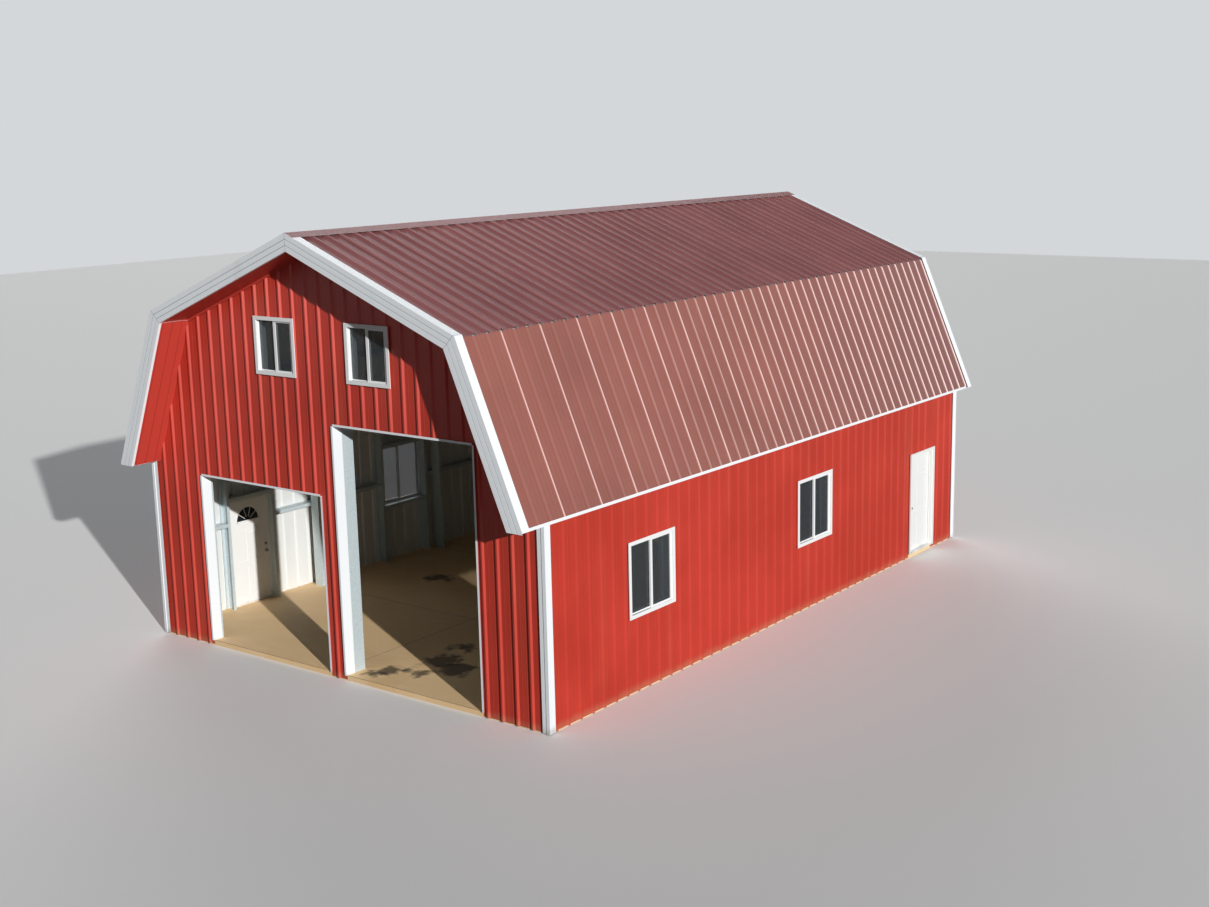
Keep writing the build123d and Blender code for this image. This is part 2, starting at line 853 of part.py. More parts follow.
with BuildPart() as rear_rake_trim:
    add([mirror(piece, about=Plane.XZ) for piece in front_rake])
keep(rear_rake_trim, "rear_rake_trim")

# Eave trim: a strip under the ends of the lower sheets, closed back to the wall and the soffits

trim_face = half_width + eave_overhang * cos(lower_angle) - eave_trim_setback
soffit_end = lower_line(soffit_lows[0], z=eave_trim_low)[0]
wall_return = half_width + rib_out + seat
trim_top = lower_line(0.0, x=trim_face + trim)[1] - seat


def eave_pieces():
    """Right-hand eave trim: one strip along the building, wider at both overhangs."""
    reach = fascia_back
    plane = frame_plane(reach)
    with BuildPart() as strip:
        trim_out = trim_face + trim
        points = [(wall_return, eave_trim_low), (trim_out, eave_trim_low), (trim_out, trim_top)]
        folded(plane, 2 * reach, points)
        for low, high in ((-reach, front - rib_out - seat), (rear + rib_out + seat, reach)):
            block(Plane.XY.offset(eave_trim_low), (soffit_end, low), (wall_return + trim, high), trim)
    return [strip.part, mirror(strip.part, about=Plane.YZ)]


with BuildPart() as eave_trim:
    add(eave_pieces())
keep(eave_trim, "eave_trim")

# Soffit sheets of both overhangs, on the returns of the rake trim


def soffit_row(low, high):
    """Adds the four soffit sheets of one overhang between two distances along the building."""
    top = eave_trim_low + trim + seat
    plane = frame_plane(high)
    break_top, break_low = break_at(*soffit_tops), break_at(*soffit_lows)
    ridge_top, ridge_low = ridge_at(soffit_tops[1]), ridge_at(soffit_lows[1])
    lower_sheet = [
        lower_line(soffit_tops[0], z=top),
        break_top,
        break_low,
        lower_line(soffit_lows[0], z=top),
    ]
    upper_sheet = [
        shortened(break_top, ridge_top, seat),
        (seat, ridge_top[1]),
        (seat, ridge_low[1]),
        shortened(break_low, ridge_low, seat),
    ]
    for points in (lower_sheet, upper_sheet):
        outline(plane, points, high - low)
        outline(plane, [(-x, z) for x, z in points], high - low)


with BuildPart() as soffit_sheets:
    soffit_row(-fascia_back, front)
    soffit_row(rear, fascia_back)
keep(soffit_sheets, "soffit_sheets")

# Corner trim


def corner_points(end, face):
    """Inner line of a corner trim in plan, round the corner at (end, face) of the first quadrant."""
    flat = trim_seat
    raised = trim_seat + corner_step
    return [
        (end + raised - corner_leg, face + flat),
        (end + raised - corner_raised - corner_step, face + flat),
        (end + raised - corner_raised, face + raised),
        (end + raised, face + raised),
        (end + raised, face + raised - corner_raised),
        (end + flat, face + raised - corner_raised - corner_step),
        (end + flat, face + raised - corner_leg),
    ]


with BuildPart() as corner_trim:
    corner_run = eave_trim_low - seat - sheet_foot
    corner_plane = Plane.XY.offset(sheet_foot)
    for x_way in (-1, 1):
        for y_way in (-1, 1):
            corner = corner_points(half_width, length / 2)
            points = [(x_way * x, y_way * y) for x, y in corner]
            way = Side.LEFT if x_way * y_way > 0 else Side.RIGHT
            folded(corner_plane, corner_run, points, way)
keep(corner_trim, "corner_trim")

# Trim of the two framed openings: face on the ribs, jamb cover through the wall


def opening_trim_pieces(low, high, clear_top):
    """Adds the two jamb covers and the head cover of an opening."""
    inner = -opening_trim_reach
    run = clear_top - slab_height - seat
    for edge, way in ((low, 1), (high, -1)):
        points = [
            (edge - way * opening_trim_face, trim_seat),
            (edge + way * seat, trim_seat),
            (edge + way * seat, inner),
        ]
        folded(front_wall.plan(clear_top), run, points, Side.LEFT if way > 0 else Side.RIGHT)
    plane = Plane(
        origin=front_wall.point(high - trim - 2 * seat, 0, clear_top),
        x_dir=front_wall.outward,
        z_dir=-front_wall.along,
    )
    head = [(trim_seat, opening_trim_face), (trim_seat, -seat), (inner, -seat)]
    folded(plane, high - low - 2 * trim - 4 * seat, head)


with BuildPart() as opening_trim:
    opening_trim_pieces(*small_opening_block, small_clear_top)
    opening_trim_pieces(*large_opening_block, large_clear_top)
keep(opening_trim, "opening_trim")

# Windows: flanged frame with a sliding sash that meets a fixed light at the middle


def ring(plane, outer_width, outer_height, stile, rail, depth):
    """Adds a rectangular ring centred on a plane."""
    with BuildSketch(plane) as profile:
        Rectangle(outer_width, outer_height)
        Rectangle(outer_width - 2 * stile, outer_height - 2 * rail, mode=Mode.SUBTRACT)
    extrude(profile.sketch, amount=depth, dir=plane.z_dir)


frame_out = trim_seat + window_flange_thickness
frame_back = frame_out - window_frame_depth


def lights(place, clear_width):
    """Middle, width, stile, rail, back and depth of a window's sliding and fixed lights."""
    width = clear_width / 2 + sash_stile / 2
    shift = (clear_width - width) / 2
    sash_back = frame_out - sash_setback - sash_depth
    sliding = (place + shift, width, sash_stile, sash_rail, sash_back, sash_depth)
    fixed = (place - shift, width, glazing_bead, glazing_bead, frame_back, glazing_bead_depth)
    return sliding, fixed


def window_frame(wall, place, sill, rough_width, rough_height):
    """Adds a sliding window's frame, its sliding sash and the beads of its fixed light."""
    height = sill + rough_height / 2
    body_width = rough_width - 2 * seat
    body_height = rough_height - 2 * seat
    flanged_width = rough_width + 2 * window_flange
    flanged_height = rough_height + 2 * window_flange
    face = window_flange + window_frame_face
    flange_plane = wall.face(place, trim_seat, height)
    ring(flange_plane, flanged_width, flanged_height, face, face, window_flange_thickness)
    body_plane = wall.face(place, frame_back, height)
    ring(body_plane, body_width, body_height, window_frame_face, window_frame_face, window_frame_depth)
    clear_width = body_width - 2 * window_frame_face
    clear_height = body_height - 2 * window_frame_face
    for middle, width, stile, rail, back, depth in lights(place, clear_width):
        ring(wall.face(middle, back, height), width, clear_height, stile, rail, depth)


def window_panes(wall, place, sill, rough_width, rough_height):
    """Adds the two panes of a sliding window inside their sashes."""
    height = sill + rough_height / 2
    clear_width = rough_width - 2 * seat - 2 * window_frame_face
    clear_height = rough_height - 2 * seat - 2 * window_frame_face
    for middle, width, stile, rail, back, depth in lights(place, clear_width):
        plane = wall.face(middle, back + (depth - glass_thickness) / 2, height)
        with BuildSketch(plane) as profile:
            Rectangle(width - 2 * stile - 2 * seat, clear_height - 2 * rail - 2 * seat)
        extrude(profile.sketch, amount=glass_thickness)


side_window = (side_window_sill, side_window_width, side_window_height)
gable_window = (gable_window_sill, gable_window_width, gable_window_height)
all_windows = [(front_wall, x, *gable_window) for x in (-gable_window_offset, gable_window_offset)]
all_windows += [(rear_wall, x, *gable_window) for x in (-gable_window_offset, gable_window_offset)]
for side in (right_side, left_side):
    all_windows += [(side.wall, window, *side_window) for window in side.windows]

with BuildPart() as window_frames:
    for window in all_windows:
        window_frame(*window)
keep(window_frames, "window_frames")

with BuildPart() as window_glass:
    for window in all_windows:
        window_panes(*window)
keep(window_glass, "window_glass")

# Doors: each opens inwards and hangs at its right-hand side, seen from outside

jamb_back = trim_seat + door_jamb_proud - door_jamb_depth
leaf_back = jamb_back
leaf_out = leaf_back + door_thickness
stop_back = leaf_out + door_edge_gap
pin_out = leaf_back - hinge_setback
casing_back = trim_seat
casing_out = casing_back + door_casing_thickness


@dataclass(frozen=True)
class DoorPlaces:
    """Places along the wall of a door's edges."""

    wall: Wall
    hinge_jamb: float
    latch_jamb: float

    @property
    def leaf_hinge(self):
        """Edge of the leaf beside its hinges."""
        return self.hinge_jamb - door_edge_gap

    @property
    def leaf_latch(self):
        """Edge of the leaf beside its latch."""
        return self.leaf_hinge - door_width

    @property
    def pin(self):
        """Place of the hinge pins."""
        return self.hinge_jamb - door_edge_gap / 2


def door_places(side):
    """Edges of a side wall's door."""
    half = door_frame_width / 2 - door_jamb
    return DoorPlaces(side.wall, side.door + half, side.door - half)


def jamb_outline(edge, way):
    """Plan outline of a jamb with its stop, at an edge with the opening on one side."""
    return [
        (edge, jamb_back),
        (edge, stop_back),
        (edge + way * door_stop, stop_back),
        (edge + way * door_stop, stop_back + door_stop_depth),
        (edge, stop_back + door_stop_depth),
        (edge, casing_back),
        (edge - way * door_jamb, casing_back),
        (edge - way * door_jamb, jamb_back),
    ]


def door_frame(door, name):
    """A door's two jambs, head and threshold."""
    foot = slab_height + seat
    threshold_low = door.latch_jamb + seat
    threshold_high = door.hinge_jamb - seat
    casing_top = door_head + door_casing_reveal + door_casing
    with BuildPart() as frame:
        for edge, way in ((door.latch_jamb, 1), (door.hinge_jamb, -1)):
            outline(door.wall.plan(door_head - seat), jamb_outline(edge, way), door_head - seat - foot)
            near = edge - way * door_casing_reveal
            far = near - way * door_casing
            leg_top = door_head + door_casing_reveal - seat
            leg_low, leg_high = (min(near, far), foot), (max(near, far), leg_top)
            block(door.wall.face(0, casing_back, 0), leg_low, leg_high, door_casing_thickness)
        low = door.latch_jamb - door_casing_reveal - door_casing
        high = door.hinge_jamb + door_casing_reveal + door_casing
        head_low = door.latch_jamb - door_jamb
        head_high = door.hinge_jamb + door_jamb
        head = door.wall.face(0, jamb_back, 0)
        block(head, (head_low, door_head), (head_high, door_head + door_jamb), casing_back - jamb_back)
        casing = door.wall.face(0, casing_back, 0)
        block(casing, (low, door_head + door_casing_reveal), (high, casing_top), door_casing_thickness)
        stop = door.wall.face(0, stop_back, 0)
        stop_low = door.latch_jamb + door_stop + seat
        stop_high = door.hinge_jamb - door_stop - seat
        block(stop, (stop_low, door_head - door_stop), (stop_high, door_head), door_stop_depth)
        sill = door.wall.face(0, jamb_back, 0)
        sill_depth = casing_out - jamb_back
        block(sill, (threshold_low, foot), (threshold_high, foot + threshold_height - seat), sill_depth)
    keep(frame, name)


def panel_boxes(low, high, bands):
    """Low and high corners of the recessed panels in two columns."""
    middle = (low + high) / 2
    columns = ((low + panel_margin, middle - panel_gap / 2), (middle + panel_gap / 2, high - panel_margin))
    return [((a, base), (b, top)) for base, top in bands for a, b in columns]


def door_leaf(door, bands, fan_light, name):
    """A door's leaf with its panels, and with a half-round light if it has one."""
    with BuildPart() as leaf:
        low = (door.leaf_latch, leaf_foot)
        high = (door.leaf_hinge, leaf_top)
        block(door.wall.face(0, leaf_back, 0), low, high, door_thickness)
        for panel_low, panel_high in panel_boxes(door.leaf_latch, door.leaf_hinge, bands):
            outside = door.wall.face(0, leaf_out - panel_recess, 0)
            inside = door.wall.face(0, leaf_back, 0)
            block(outside, panel_low, panel_high, panel_recess, mode=Mode.SUBTRACT)
            block(inside, panel_low, panel_high, panel_recess, mode=Mode.SUBTRACT)
        if fan_light:
            fan_light_disc(door, leaf_back, door_thickness, fan_light_radius, Mode.SUBTRACT)
    keep(leaf, name)


def fan_light_disc(door, back, depth, radius, mode=Mode.ADD):
    """Adds or cuts a half-round prism over the fan light's base."""
    middle = (door.leaf_latch + door.leaf_hinge) / 2
    lift = fan_light_radius - radius
    plane = door.wall.face(middle, back, leaf_foot + fan_light_base + lift)
    with BuildSketch(plane) as profile:
        with BuildLine():
            CenterArc((0, 0), radius, 0, 180)
            Line((-radius, 0), (radius, 0))
        make_face()
    extrude(profile.sketch, amount=depth, dir=plane.z_dir, mode=mode)


def turned(plane, start, end, radius):
    """Adds a turned length of a handle about a plane's Z, with many flat sides."""
    with BuildSketch(plane.offset(start)) as profile:
        RegularPolygon(radius, turned_sides)
    extrude(profile.sketch, amount=end - start, dir=plane.z_dir)


def knob_half(plane):
    """Adds a rosette, neck and knob that stand out of a plane."""
    turned(plane, seat, rosette_thickness, rosette_radius)
    turned(plane, rosette_thickness, neck_reach, neck_radius)
    with BuildSketch(plane.offset((neck_reach + knob_reach) / 2)) as widest:
        RegularPolygon(knob_radius, turned_sides)
    for way in (plane.z_dir, -plane.z_dir):
        extrude(widest.sketch, amount=(knob_reach - neck_reach) / 2, dir=way, taper=knob_taper)


def deadbolt_half(plane):
    """Adds a deadbolt's round cover that stands out of a plane."""
    turned(plane, seat, deadbolt_thickness, deadbolt_radius)


def door_handles(door):
    """Adds the knobs and deadbolt covers on both faces of a leaf."""
    place = door.leaf_latch + knob_backset
    for rise, half in ((knob_height, knob_half), (knob_height + deadbolt_rise, deadbolt_half)):
        outside = door.wall.face(place, leaf_out, leaf_foot + rise)
        inside = door.wall.face(place, leaf_back, leaf_foot + rise)
        half(outside)
        half(Plane(origin=inside.origin, x_dir=inside.x_dir, z_dir=-inside.z_dir))


hinge_feet = (
    leaf_foot + hinge_inset,
    (leaf_foot + leaf_top - hinge_height) / 2,
    leaf_top - hinge_inset - hinge_height,
)


def hinge_plate(door, edge, height, run):
    """Adds a hinge's leaf beside the pin, against the edge that carries it."""
    low = (edge[0], pin_out + (knuckle_radius + pin_radius) / 2)
    high = (edge[1], jamb_back + hinge_leaf_depth)
    plan = Plane(origin=door.wall.point(0, 0, height + run), x_dir=door.wall.along, z_dir=(0, 0, -1))
    block(plan, low, high, run)


bore_radius = (pin_radius + pin_clearance) / cos(pi / hinge_sides)


def knuckle(door, height, run, mode=Mode.ADD, radius=knuckle_radius):
    """Adds or bores a many-sided knuckle on the pin's line."""
    plane = Plane(origin=door.wall.point(door.pin, pin_out, height))
    with BuildSketch(plane) as profile:
        RegularPolygon(radius, hinge_sides)
    extrude(profile.sketch, amount=run, mode=mode)


def fixed_hinges(door):
    """Adds the half of each hinge that stays on the jamb: pin, end knuckles and leaf."""
    third = hinge_height / 3
    edge = (door.hinge_jamb - hinge_leaf, door.hinge_jamb)
    for foot in hinge_feet:
        for height in (foot, foot + 2 * third + hinge_play):
            knuckle(door, height, third - hinge_play)
            hinge_plate(door, edge, height, third - hinge_play)
        knuckle(door, foot, hinge_height, radius=pin_radius)


def moving_hinges(door):
    """Adds the half of each hinge that swings with the leaf: middle knuckle and leaf."""
    third = hinge_height / 3
    for foot in hinge_feet:
        knuckle(door, foot + third, third)
        hinge_plate(door, (door.leaf_hinge, door.leaf_hinge + hinge_leaf), foot + third, third)
        knuckle(door, foot + third, third, Mode.SUBTRACT, bore_radius)


def door_hardware(door, name):
    """What moves with a leaf: its knobs, deadbolt covers and half of each hinge."""
    with BuildPart() as hardware:
        moving_hinges(door)
        door_handles(door)
    keep(hardware, name)


right_door = door_places(right_side)
left_door = door_places(left_side)
full_bands = [(leaf_foot + low, leaf_foot + high) for low, high in full_panels]
light_bands = [(leaf_foot + low, leaf_foot + high) for low, high in light_panels]

door_frame(right_door, "right_door_frame")
door_frame(left_door, "left_door_frame")
door_leaf(right_door, full_bands, False, "right_door_leaf")
door_leaf(left_door, light_bands, True, "left_door_leaf")
door_hardware(right_door, "right_door_hardware")
door_hardware(left_door, "left_door_hardware")

with BuildPart() as jamb_hinges:
    fixed_hinges(right_door)
    fixed_hinges(left_door)
keep(jamb_hinges, "jamb_hinges")

with BuildPart() as fan_light_glass:
    pane_back = leaf_back + (door_thickness - glass_thickness) / 2
    fan_light_disc(left_door, pane_back, glass_thickness, fan_light_radius - seat)
keep(fan_light_glass, "fan_light_glass")
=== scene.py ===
"""Looks of a gambrel barn: painted ribbed sheets on a galvanised frame, with white trim, windows and doors.

Metres, X across the front, +Y to the rear, +Z up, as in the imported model.
"""

import logging
import math
from collections.abc import Callable, Iterator
from contextlib import contextmanager
from dataclasses import dataclass
from enum import Enum

import bmesh
import bpy
from mathutils import Matrix, Vector


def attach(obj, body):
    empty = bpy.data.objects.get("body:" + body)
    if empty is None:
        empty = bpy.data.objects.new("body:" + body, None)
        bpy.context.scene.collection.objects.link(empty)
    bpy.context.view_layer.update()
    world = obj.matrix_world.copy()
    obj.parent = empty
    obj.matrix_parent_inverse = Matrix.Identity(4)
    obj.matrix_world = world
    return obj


log = logging.getLogger("barn")
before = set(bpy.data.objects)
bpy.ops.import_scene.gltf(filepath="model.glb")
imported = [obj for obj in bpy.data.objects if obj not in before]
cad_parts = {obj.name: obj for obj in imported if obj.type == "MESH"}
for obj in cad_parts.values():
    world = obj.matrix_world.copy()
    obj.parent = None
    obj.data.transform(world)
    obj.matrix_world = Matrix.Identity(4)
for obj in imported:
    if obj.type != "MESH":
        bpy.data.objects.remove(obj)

Colour = tuple[float, float, float]
Triple = tuple[float, float, float]
Span = tuple[float, float]
Socket = bpy.types.NodeSocket

HALF_WIDTH = 4.572
HALF_LENGTH = 7.0105
EAVE_HEIGHT = 3.52
BREAK_ACROSS = 3.494
BREAK_HEIGHT = 6.08
SLAB_TOP = 0.09
STEEP = (0.9216, 0.3881)
FLAT = (0.3708, 0.9287)
ENDS = (-1.0, 1.0)
RIB_PITCH = 0.3048
RIBS_PER_SHEET = 3
FIRST_LAP = 2


def linear(red: int, green: int, blue: int) -> Colour:
    """Linear colour of a seen one, each channel from 0 to 255."""
    return tuple(
        value / 12.92 if value <= 0.04045 else ((value + 0.055) / 1.055) ** 2.4
        for value in (red / 255, green / 255, blue / 255)
    )


class Side(Enum):
    """The way out of the building that a sheet faces, as a vector."""

    FRONT = (0.0, -1.0, 0.0)
    REAR = (0.0, 1.0, 0.0)
    RIGHT = (1.0, 0.0, 0.0)
    LEFT = (-1.0, 0.0, 0.0)
    RIGHT_LOWER_SLOPE = (STEEP[0], 0.0, STEEP[1])
    RIGHT_UPPER_SLOPE = (FLAT[0], 0.0, FLAT[1])
    LEFT_LOWER_SLOPE = (-STEEP[0], 0.0, STEEP[1])
    LEFT_UPPER_SLOPE = (-FLAT[0], 0.0, FLAT[1])
    UP = (0.0, 0.0, 1.0)

    @property
    def steep(self) -> bool:
        """Whether this is a slope below the break."""
        return "LOWER" in self.name

    @property
    def flat(self) -> bool:
        """Whether this is a slope above the break."""
        return "UPPER" in self.name

    @property
    def roof(self) -> bool:
        """Whether this is a slope or the ridge."""
        return self.steep or self.flat or self is Side.UP

    @property
    def left(self) -> bool:
        """Whether this is on the left half."""
        return "LEFT" in self.name


class Surface:
    """A material being made: a shader, with textures laid over its colour and relief in turn."""

    def __init__(self, name: str, colour: Colour, roughness: float, metallic: float = 0.0) -> None:
        """Starts a plain material.

        Args:
            name: The material's name.
            colour: Its linear colour before anything is laid over it.
            roughness: Its roughness.
            metallic: 1 for bare metal.
        """
        self.material = bpy.data.materials.new(name)
        self.material.use_nodes = True
        self.tree = self.material.node_tree
        self.shader = self.tree.nodes["Principled BSDF"]
        self.shader.inputs["Base Color"].default_value = (*colour, 1.0)
        self.shader.inputs["Roughness"].default_value = roughness
        self.shader.inputs["Metallic"].default_value = metallic
        self.place = self.tree.nodes.new("ShaderNodeTexCoord").outputs["Object"]
        self.split = self.add("ShaderNodeSeparateXYZ", {"Vector": self.place})

    def add(self, kind: str, inputs: dict, **settings: object) -> bpy.types.Node:
        """Adds a node.

        Args:
            kind: The node's type.
            inputs: A value or another node's output for each named or numbered input.
            settings: Properties of the node itself.

        Returns:
            The new node.
        """
        node = self.tree.nodes.new(kind)
        for name, value in settings.items():
            setattr(node, name, value)
        for name, value in inputs.items():
            if isinstance(value, Socket):
                self.tree.links.new(value, node.inputs[name])
            else:
                node.inputs[name].default_value = value
        return node

    def axis(self, name: str) -> Socket:
        """The place on the barn along X, Y or Z, in metres."""
        return self.split.outputs[name]

    def sum(self, operation: str, *values: object) -> Socket:
        """The result of a math operation on numbers or outputs."""
        return self.add("ShaderNodeMath", dict(enumerate(values)), operation=operation).outputs[0]

    def share(self, value: Socket, factor: float) -> Socket:
        """A value times a number."""
        return self.sum("MULTIPLY", value, factor)

    def away(self, value: Socket, place: float) -> Socket:
        """How far a value is from a place."""
        return self.sum("ABSOLUTE", self.sum("SUBTRACT", value, place))

    def noise(self, scale: float, stretch: Triple = (1, 1, 1), detail: float = 3.0) -> Socket:
        """A noise from 0 to 1.

        Args:
            scale: Patches per metre.
            stretch: How much closer together the patches are along each axis.
            detail: Octaves.

        Returns:
            The noise's output.
        """
        mapping = self.add("ShaderNodeMapping", {"Vector": self.place, "Scale": stretch})
        inputs = {"Vector": mapping.outputs[0], "Scale": scale, "Detail": detail}
        return self.add("ShaderNodeTexNoise", inputs).outputs["Fac"]

    def step(self, value: Socket, low: float, high: float) -> Socket:
        """A soft step from 0 at low to 1 at high; low may be the greater."""
        inputs = {"Value": value, "From Min": low, "From Max": high}
        if low > high:
            inputs = {"Value": value, "From Min": high, "From Max": low, "To Min": 1.0, "To Max": 0.0}
        return self.add("ShaderNodeMapRange", inputs, interpolation_type="SMOOTHSTEP").outputs["Result"]

    def line(self, value: Socket, place: float, width: float) -> Socket:
        """One line at a place along a value, 1 on it and 0 beside it."""
        return self.step(self.away(value, place), width, width / 2)

    def lines(self, value: Socket, pitch: float, datum: float, width: float) -> Socket:
        """Lines of a width at every pitch along a value, 1 on a line and 0 beside it."""
        shifted = self.sum("ADD", self.sum("SUBTRACT", value, datum), pitch / 2)
        return self.line(self.sum("WRAP", shifted, pitch, 0.0), pitch / 2, width)

    def along(self, direction: Span) -> Socket:
        """The place along a direction across and up, the same on the left half as on the right one."""
        across = self.share(self.sum("ABSOLUTE", self.axis("X")), direction[0])
        return self.sum("ADD", across, self.share(self.axis("Z"), direction[1]))

    def normal(self) -> Socket:
        """The way that the face itself looks."""
        return self.add("ShaderNodeNewGeometry", {}).outputs["True Normal"]

    def facing(self, side: Side) -> Socket:
        """1 where the surface faces out of a side, 0 elsewhere."""
        inputs = {0: self.normal(), 1: side.value}
        facing = self.add("ShaderNodeVectorMath", inputs, operation="DOT_PRODUCT").outputs["Value"]
        return self.sum("GREATER_THAN", facing, 0.05)

    def blended(self, amount: Socket, under: object, over: object, strength: float = 1.0) -> Socket:
        """One colour laid over another.

        Args:
            amount: How much of it there is, from 0 to 1.
            under: The colour below.
            over: The colour laid on it.
            strength: How much of it covers where the amount is 1.

        Returns:
            The blended colour.
        """
        tones = {
            key: tone if isinstance(tone, Socket) else (*tone[:3], 1.0)
            for key, tone in ((6, under), (7, over))
        }
        if strength != 1.0:
            amount = self.share(amount, strength)
        return self.add("ShaderNodeMix", {0: amount, **tones}, data_type="RGBA").outputs[2]

    def tint(self, amount: Socket, colour: object, strength: float = 1.0) -> None:
        """Lays a colour over what is there, by an amount from 0 to 1 times a strength."""
        base = self.shader.inputs["Base Color"]
        under = base.links[0].from_socket if base.links else tuple(base.default_value)
        self.tree.links.new(self.blended(amount, under, colour, strength), base)

    def gloss(self, level: float) -> None:
        """Sets how strongly the coat reflects."""
        self.shader.inputs["Specular IOR Level"].default_value = level

    def sheen(self, value: Socket, low: float, high: float) -> None:
        """Lets the roughness run from low to high with a value from 0 to 1."""
        inputs = {"Value": value, "To Min": low, "To Max": high}
        rough = self.add("ShaderNodeMapRange", inputs).outputs["Result"]
        self.tree.links.new(rough, self.shader.inputs["Roughness"])

    def relief(self, height: Socket, depth: float, strength: float = 1.0) -> None:
        """Adds relief of a depth in metres, over what is there."""
        inputs = {"Height": height, "Distance": depth, "Strength": strength}
        under = self.shader.inputs["Normal"].links
        if under:
            inputs["Normal"] = under[0].from_socket
        bump = self.add("ShaderNodeBump", inputs)
        self.tree.links.new(bump.outputs["Normal"], self.shader.inputs["Normal"])

    def coat_relief(self, wave: Socket, wave_depth: float, grain: float) -> None:
        """Adds the slow waves of thin sheet and the fine grain of its paint."""
        self.relief(wave, wave_depth)
        self.relief(self.noise(grain, detail=1.0), 0.0002, 0.3)


@dataclass(frozen=True)
class PaintedSheet:
    """Steel sheet with a coloured coat outside and a white one inside."""

    name: str
    side: Side
    outside: Colour
    gloss: float = 0.5
    lap_datum: float = 0.0
    inside: Colour = linear(226, 227, 224)
    roughness: float = 0.36
    rough: Span = (0.32, 0.42)
    dust: Colour = linear(190, 140, 104)
    splash: Colour = linear(196, 120, 92)
    splash_height: Span = (0.1, -0.06)
    deep: Colour = linear(112, 62, 58)
    deepens: Span = (-2.0, 9.0)
    # Pale colour of the painted glints on the steep slopes' rib sides.
    painted_glint: Colour = linear(252, 212, 204)
    painted_glint_grows: Span = (-5.5, 4.0)
    painted_glint_height: Span = (5.594, 5.6)
    lap_reach: float = 0.12
    # Painted shadow on the sheet beside each lap of the flatter slopes.
    lap_painted_shadow: Colour = linear(84, 48, 48)
    lap_painted_shadow_beside: float = 0.055
    lap_painted_shadow_width: float = 0.026
    # Painted highlight on the lap ribs' sides of the flatter slopes.
    wear_and_painted_highlight: Colour = linear(190, 130, 122)
    lap_painted_highlight_beside: float = 0.022
    lap_painted_highlight_width: float = 0.016

    def splashed(self, surface: Surface, coat: Socket) -> Socket:
        """Soils the foot of a wall with what rain throws up.

        Args:
            surface: The material being made.
            coat: The outer coat's colour.

        Returns:
            The coat's colour with the splashes on it.
        """
        ragged = surface.share(surface.noise(5.0, (1, 1, 0.5), 5.0), -0.14)
        height = surface.sum("ADD", surface.axis("Z"), ragged)
        return surface.blended(surface.step(height, *self.splash_height), coat, self.splash, 0.55)

    def laps(self, surface: Surface, beside: float, width: float) -> Socket:
        """Lines along the ribs where one sheet laps the next, some way to the front of each."""
        return surface.lines(surface.axis("Y"), RIBS_PER_SHEET * RIB_PITCH, self.lap_datum - beside, width)

    def with_painted_glints(self, surface: Surface, coat: Socket) -> Socket:
        """Darkens a steep slope towards the rear, and paints a pale highlight, a painted glint, on the outer
        part of its ribs' front-facing sides, growing towards the rear and strongest at the laps.

        Args:
            surface: The material being made.
            coat: The outer coat's colour.

        Returns:
            The coat's colour with the painted glints on it.
        """
        rearward = surface.axis("Y")
        coat = surface.blended(surface.step(rearward, *self.deepens), coat, self.deep, 0.75)
        forward = surface.add("ShaderNodeSeparateXYZ", {"Vector": surface.normal()}).outputs["Y"]
        # Painted highlight: the ribs' front-facing sides are made paler where the key light would glint on
        # them.
        rib_side = surface.sum("LESS_THAN", forward, -0.5)
        grown = surface.share(surface.step(rearward, *self.painted_glint_grows), 0.8)
        lap = surface.share(self.laps(surface, 0.0, self.lap_reach), 0.7)
        high = surface.step(surface.along(STEEP), *self.painted_glint_height)
        amount = surface.sum("MULTIPLY", surface.sum("MAXIMUM", grown, lap), high)
        return surface.blended(surface.sum("MULTIPLY", rib_side, amount), coat, self.painted_glint)

    def lapped(self, surface: Surface, coat: Socket) -> Socket:
        """Paints the laps of a flatter slope: a painted highlight on the rib's side, and a painted shadow on
        the sheet beside it, where the lapping edge would cast one.

        Args:
            surface: The material being made.
            coat: The outer coat's colour.

        Returns:
            The coat's colour with the painted highlight and shadow at the laps.
        """
        # Painted shadow beside each lap, then a painted highlight on its rib's side.
        coat = surface.blended(self.laps(surface, self.lap_painted_shadow_beside, self.lap_painted_shadow_width), coat, self.lap_painted_shadow, 0.4)
        return surface.blended(self.laps(surface, self.lap_painted_highlight_beside, self.lap_painted_highlight_width), coat, self.wear_and_painted_highlight, 0.2)

    def material(self) -> bpy.types.Material:
        """Makes the material."""
        surface = Surface(self.name, self.inside, self.roughness)
        surface.gloss(self.gloss)
        fade = surface.noise(0.35, detail=2.0)
        surface.tint(surface.step(fade, 0.35, 0.75), tuple(0.94 * value for value in self.inside))
        mottle = surface.noise(0.6, detail=4.0)
        light = tuple(min(1.0, 1.07 * value + 0.004) for value in self.outside)
        dark = tuple(0.9 * value for value in self.outside)
        coat = surface.blended(surface.step(mottle, 0.3, 0.7), dark, light)
        streaks = surface.step(surface.noise(2.2, (1.0, 1.0, 0.1), 4.0), 0.52, 0.85)
        coat = surface.blended(streaks, coat, self.dust, 0.1)
        if self.side.steep:
            coat = self.with_painted_glints(surface, coat)
        elif self.side.flat:
            coat = self.lapped(surface, coat)
        elif not self.side.roof:
            coat = self.splashed(surface, coat)
        surface.tint(surface.facing(self.side), coat)
        surface.sheen(mottle, *self.rough)
        surface.coat_relief(surface.noise(1.6, (1.0, 1.0, 0.4), 2.0), 0.004, 260.0)
        return surface.material


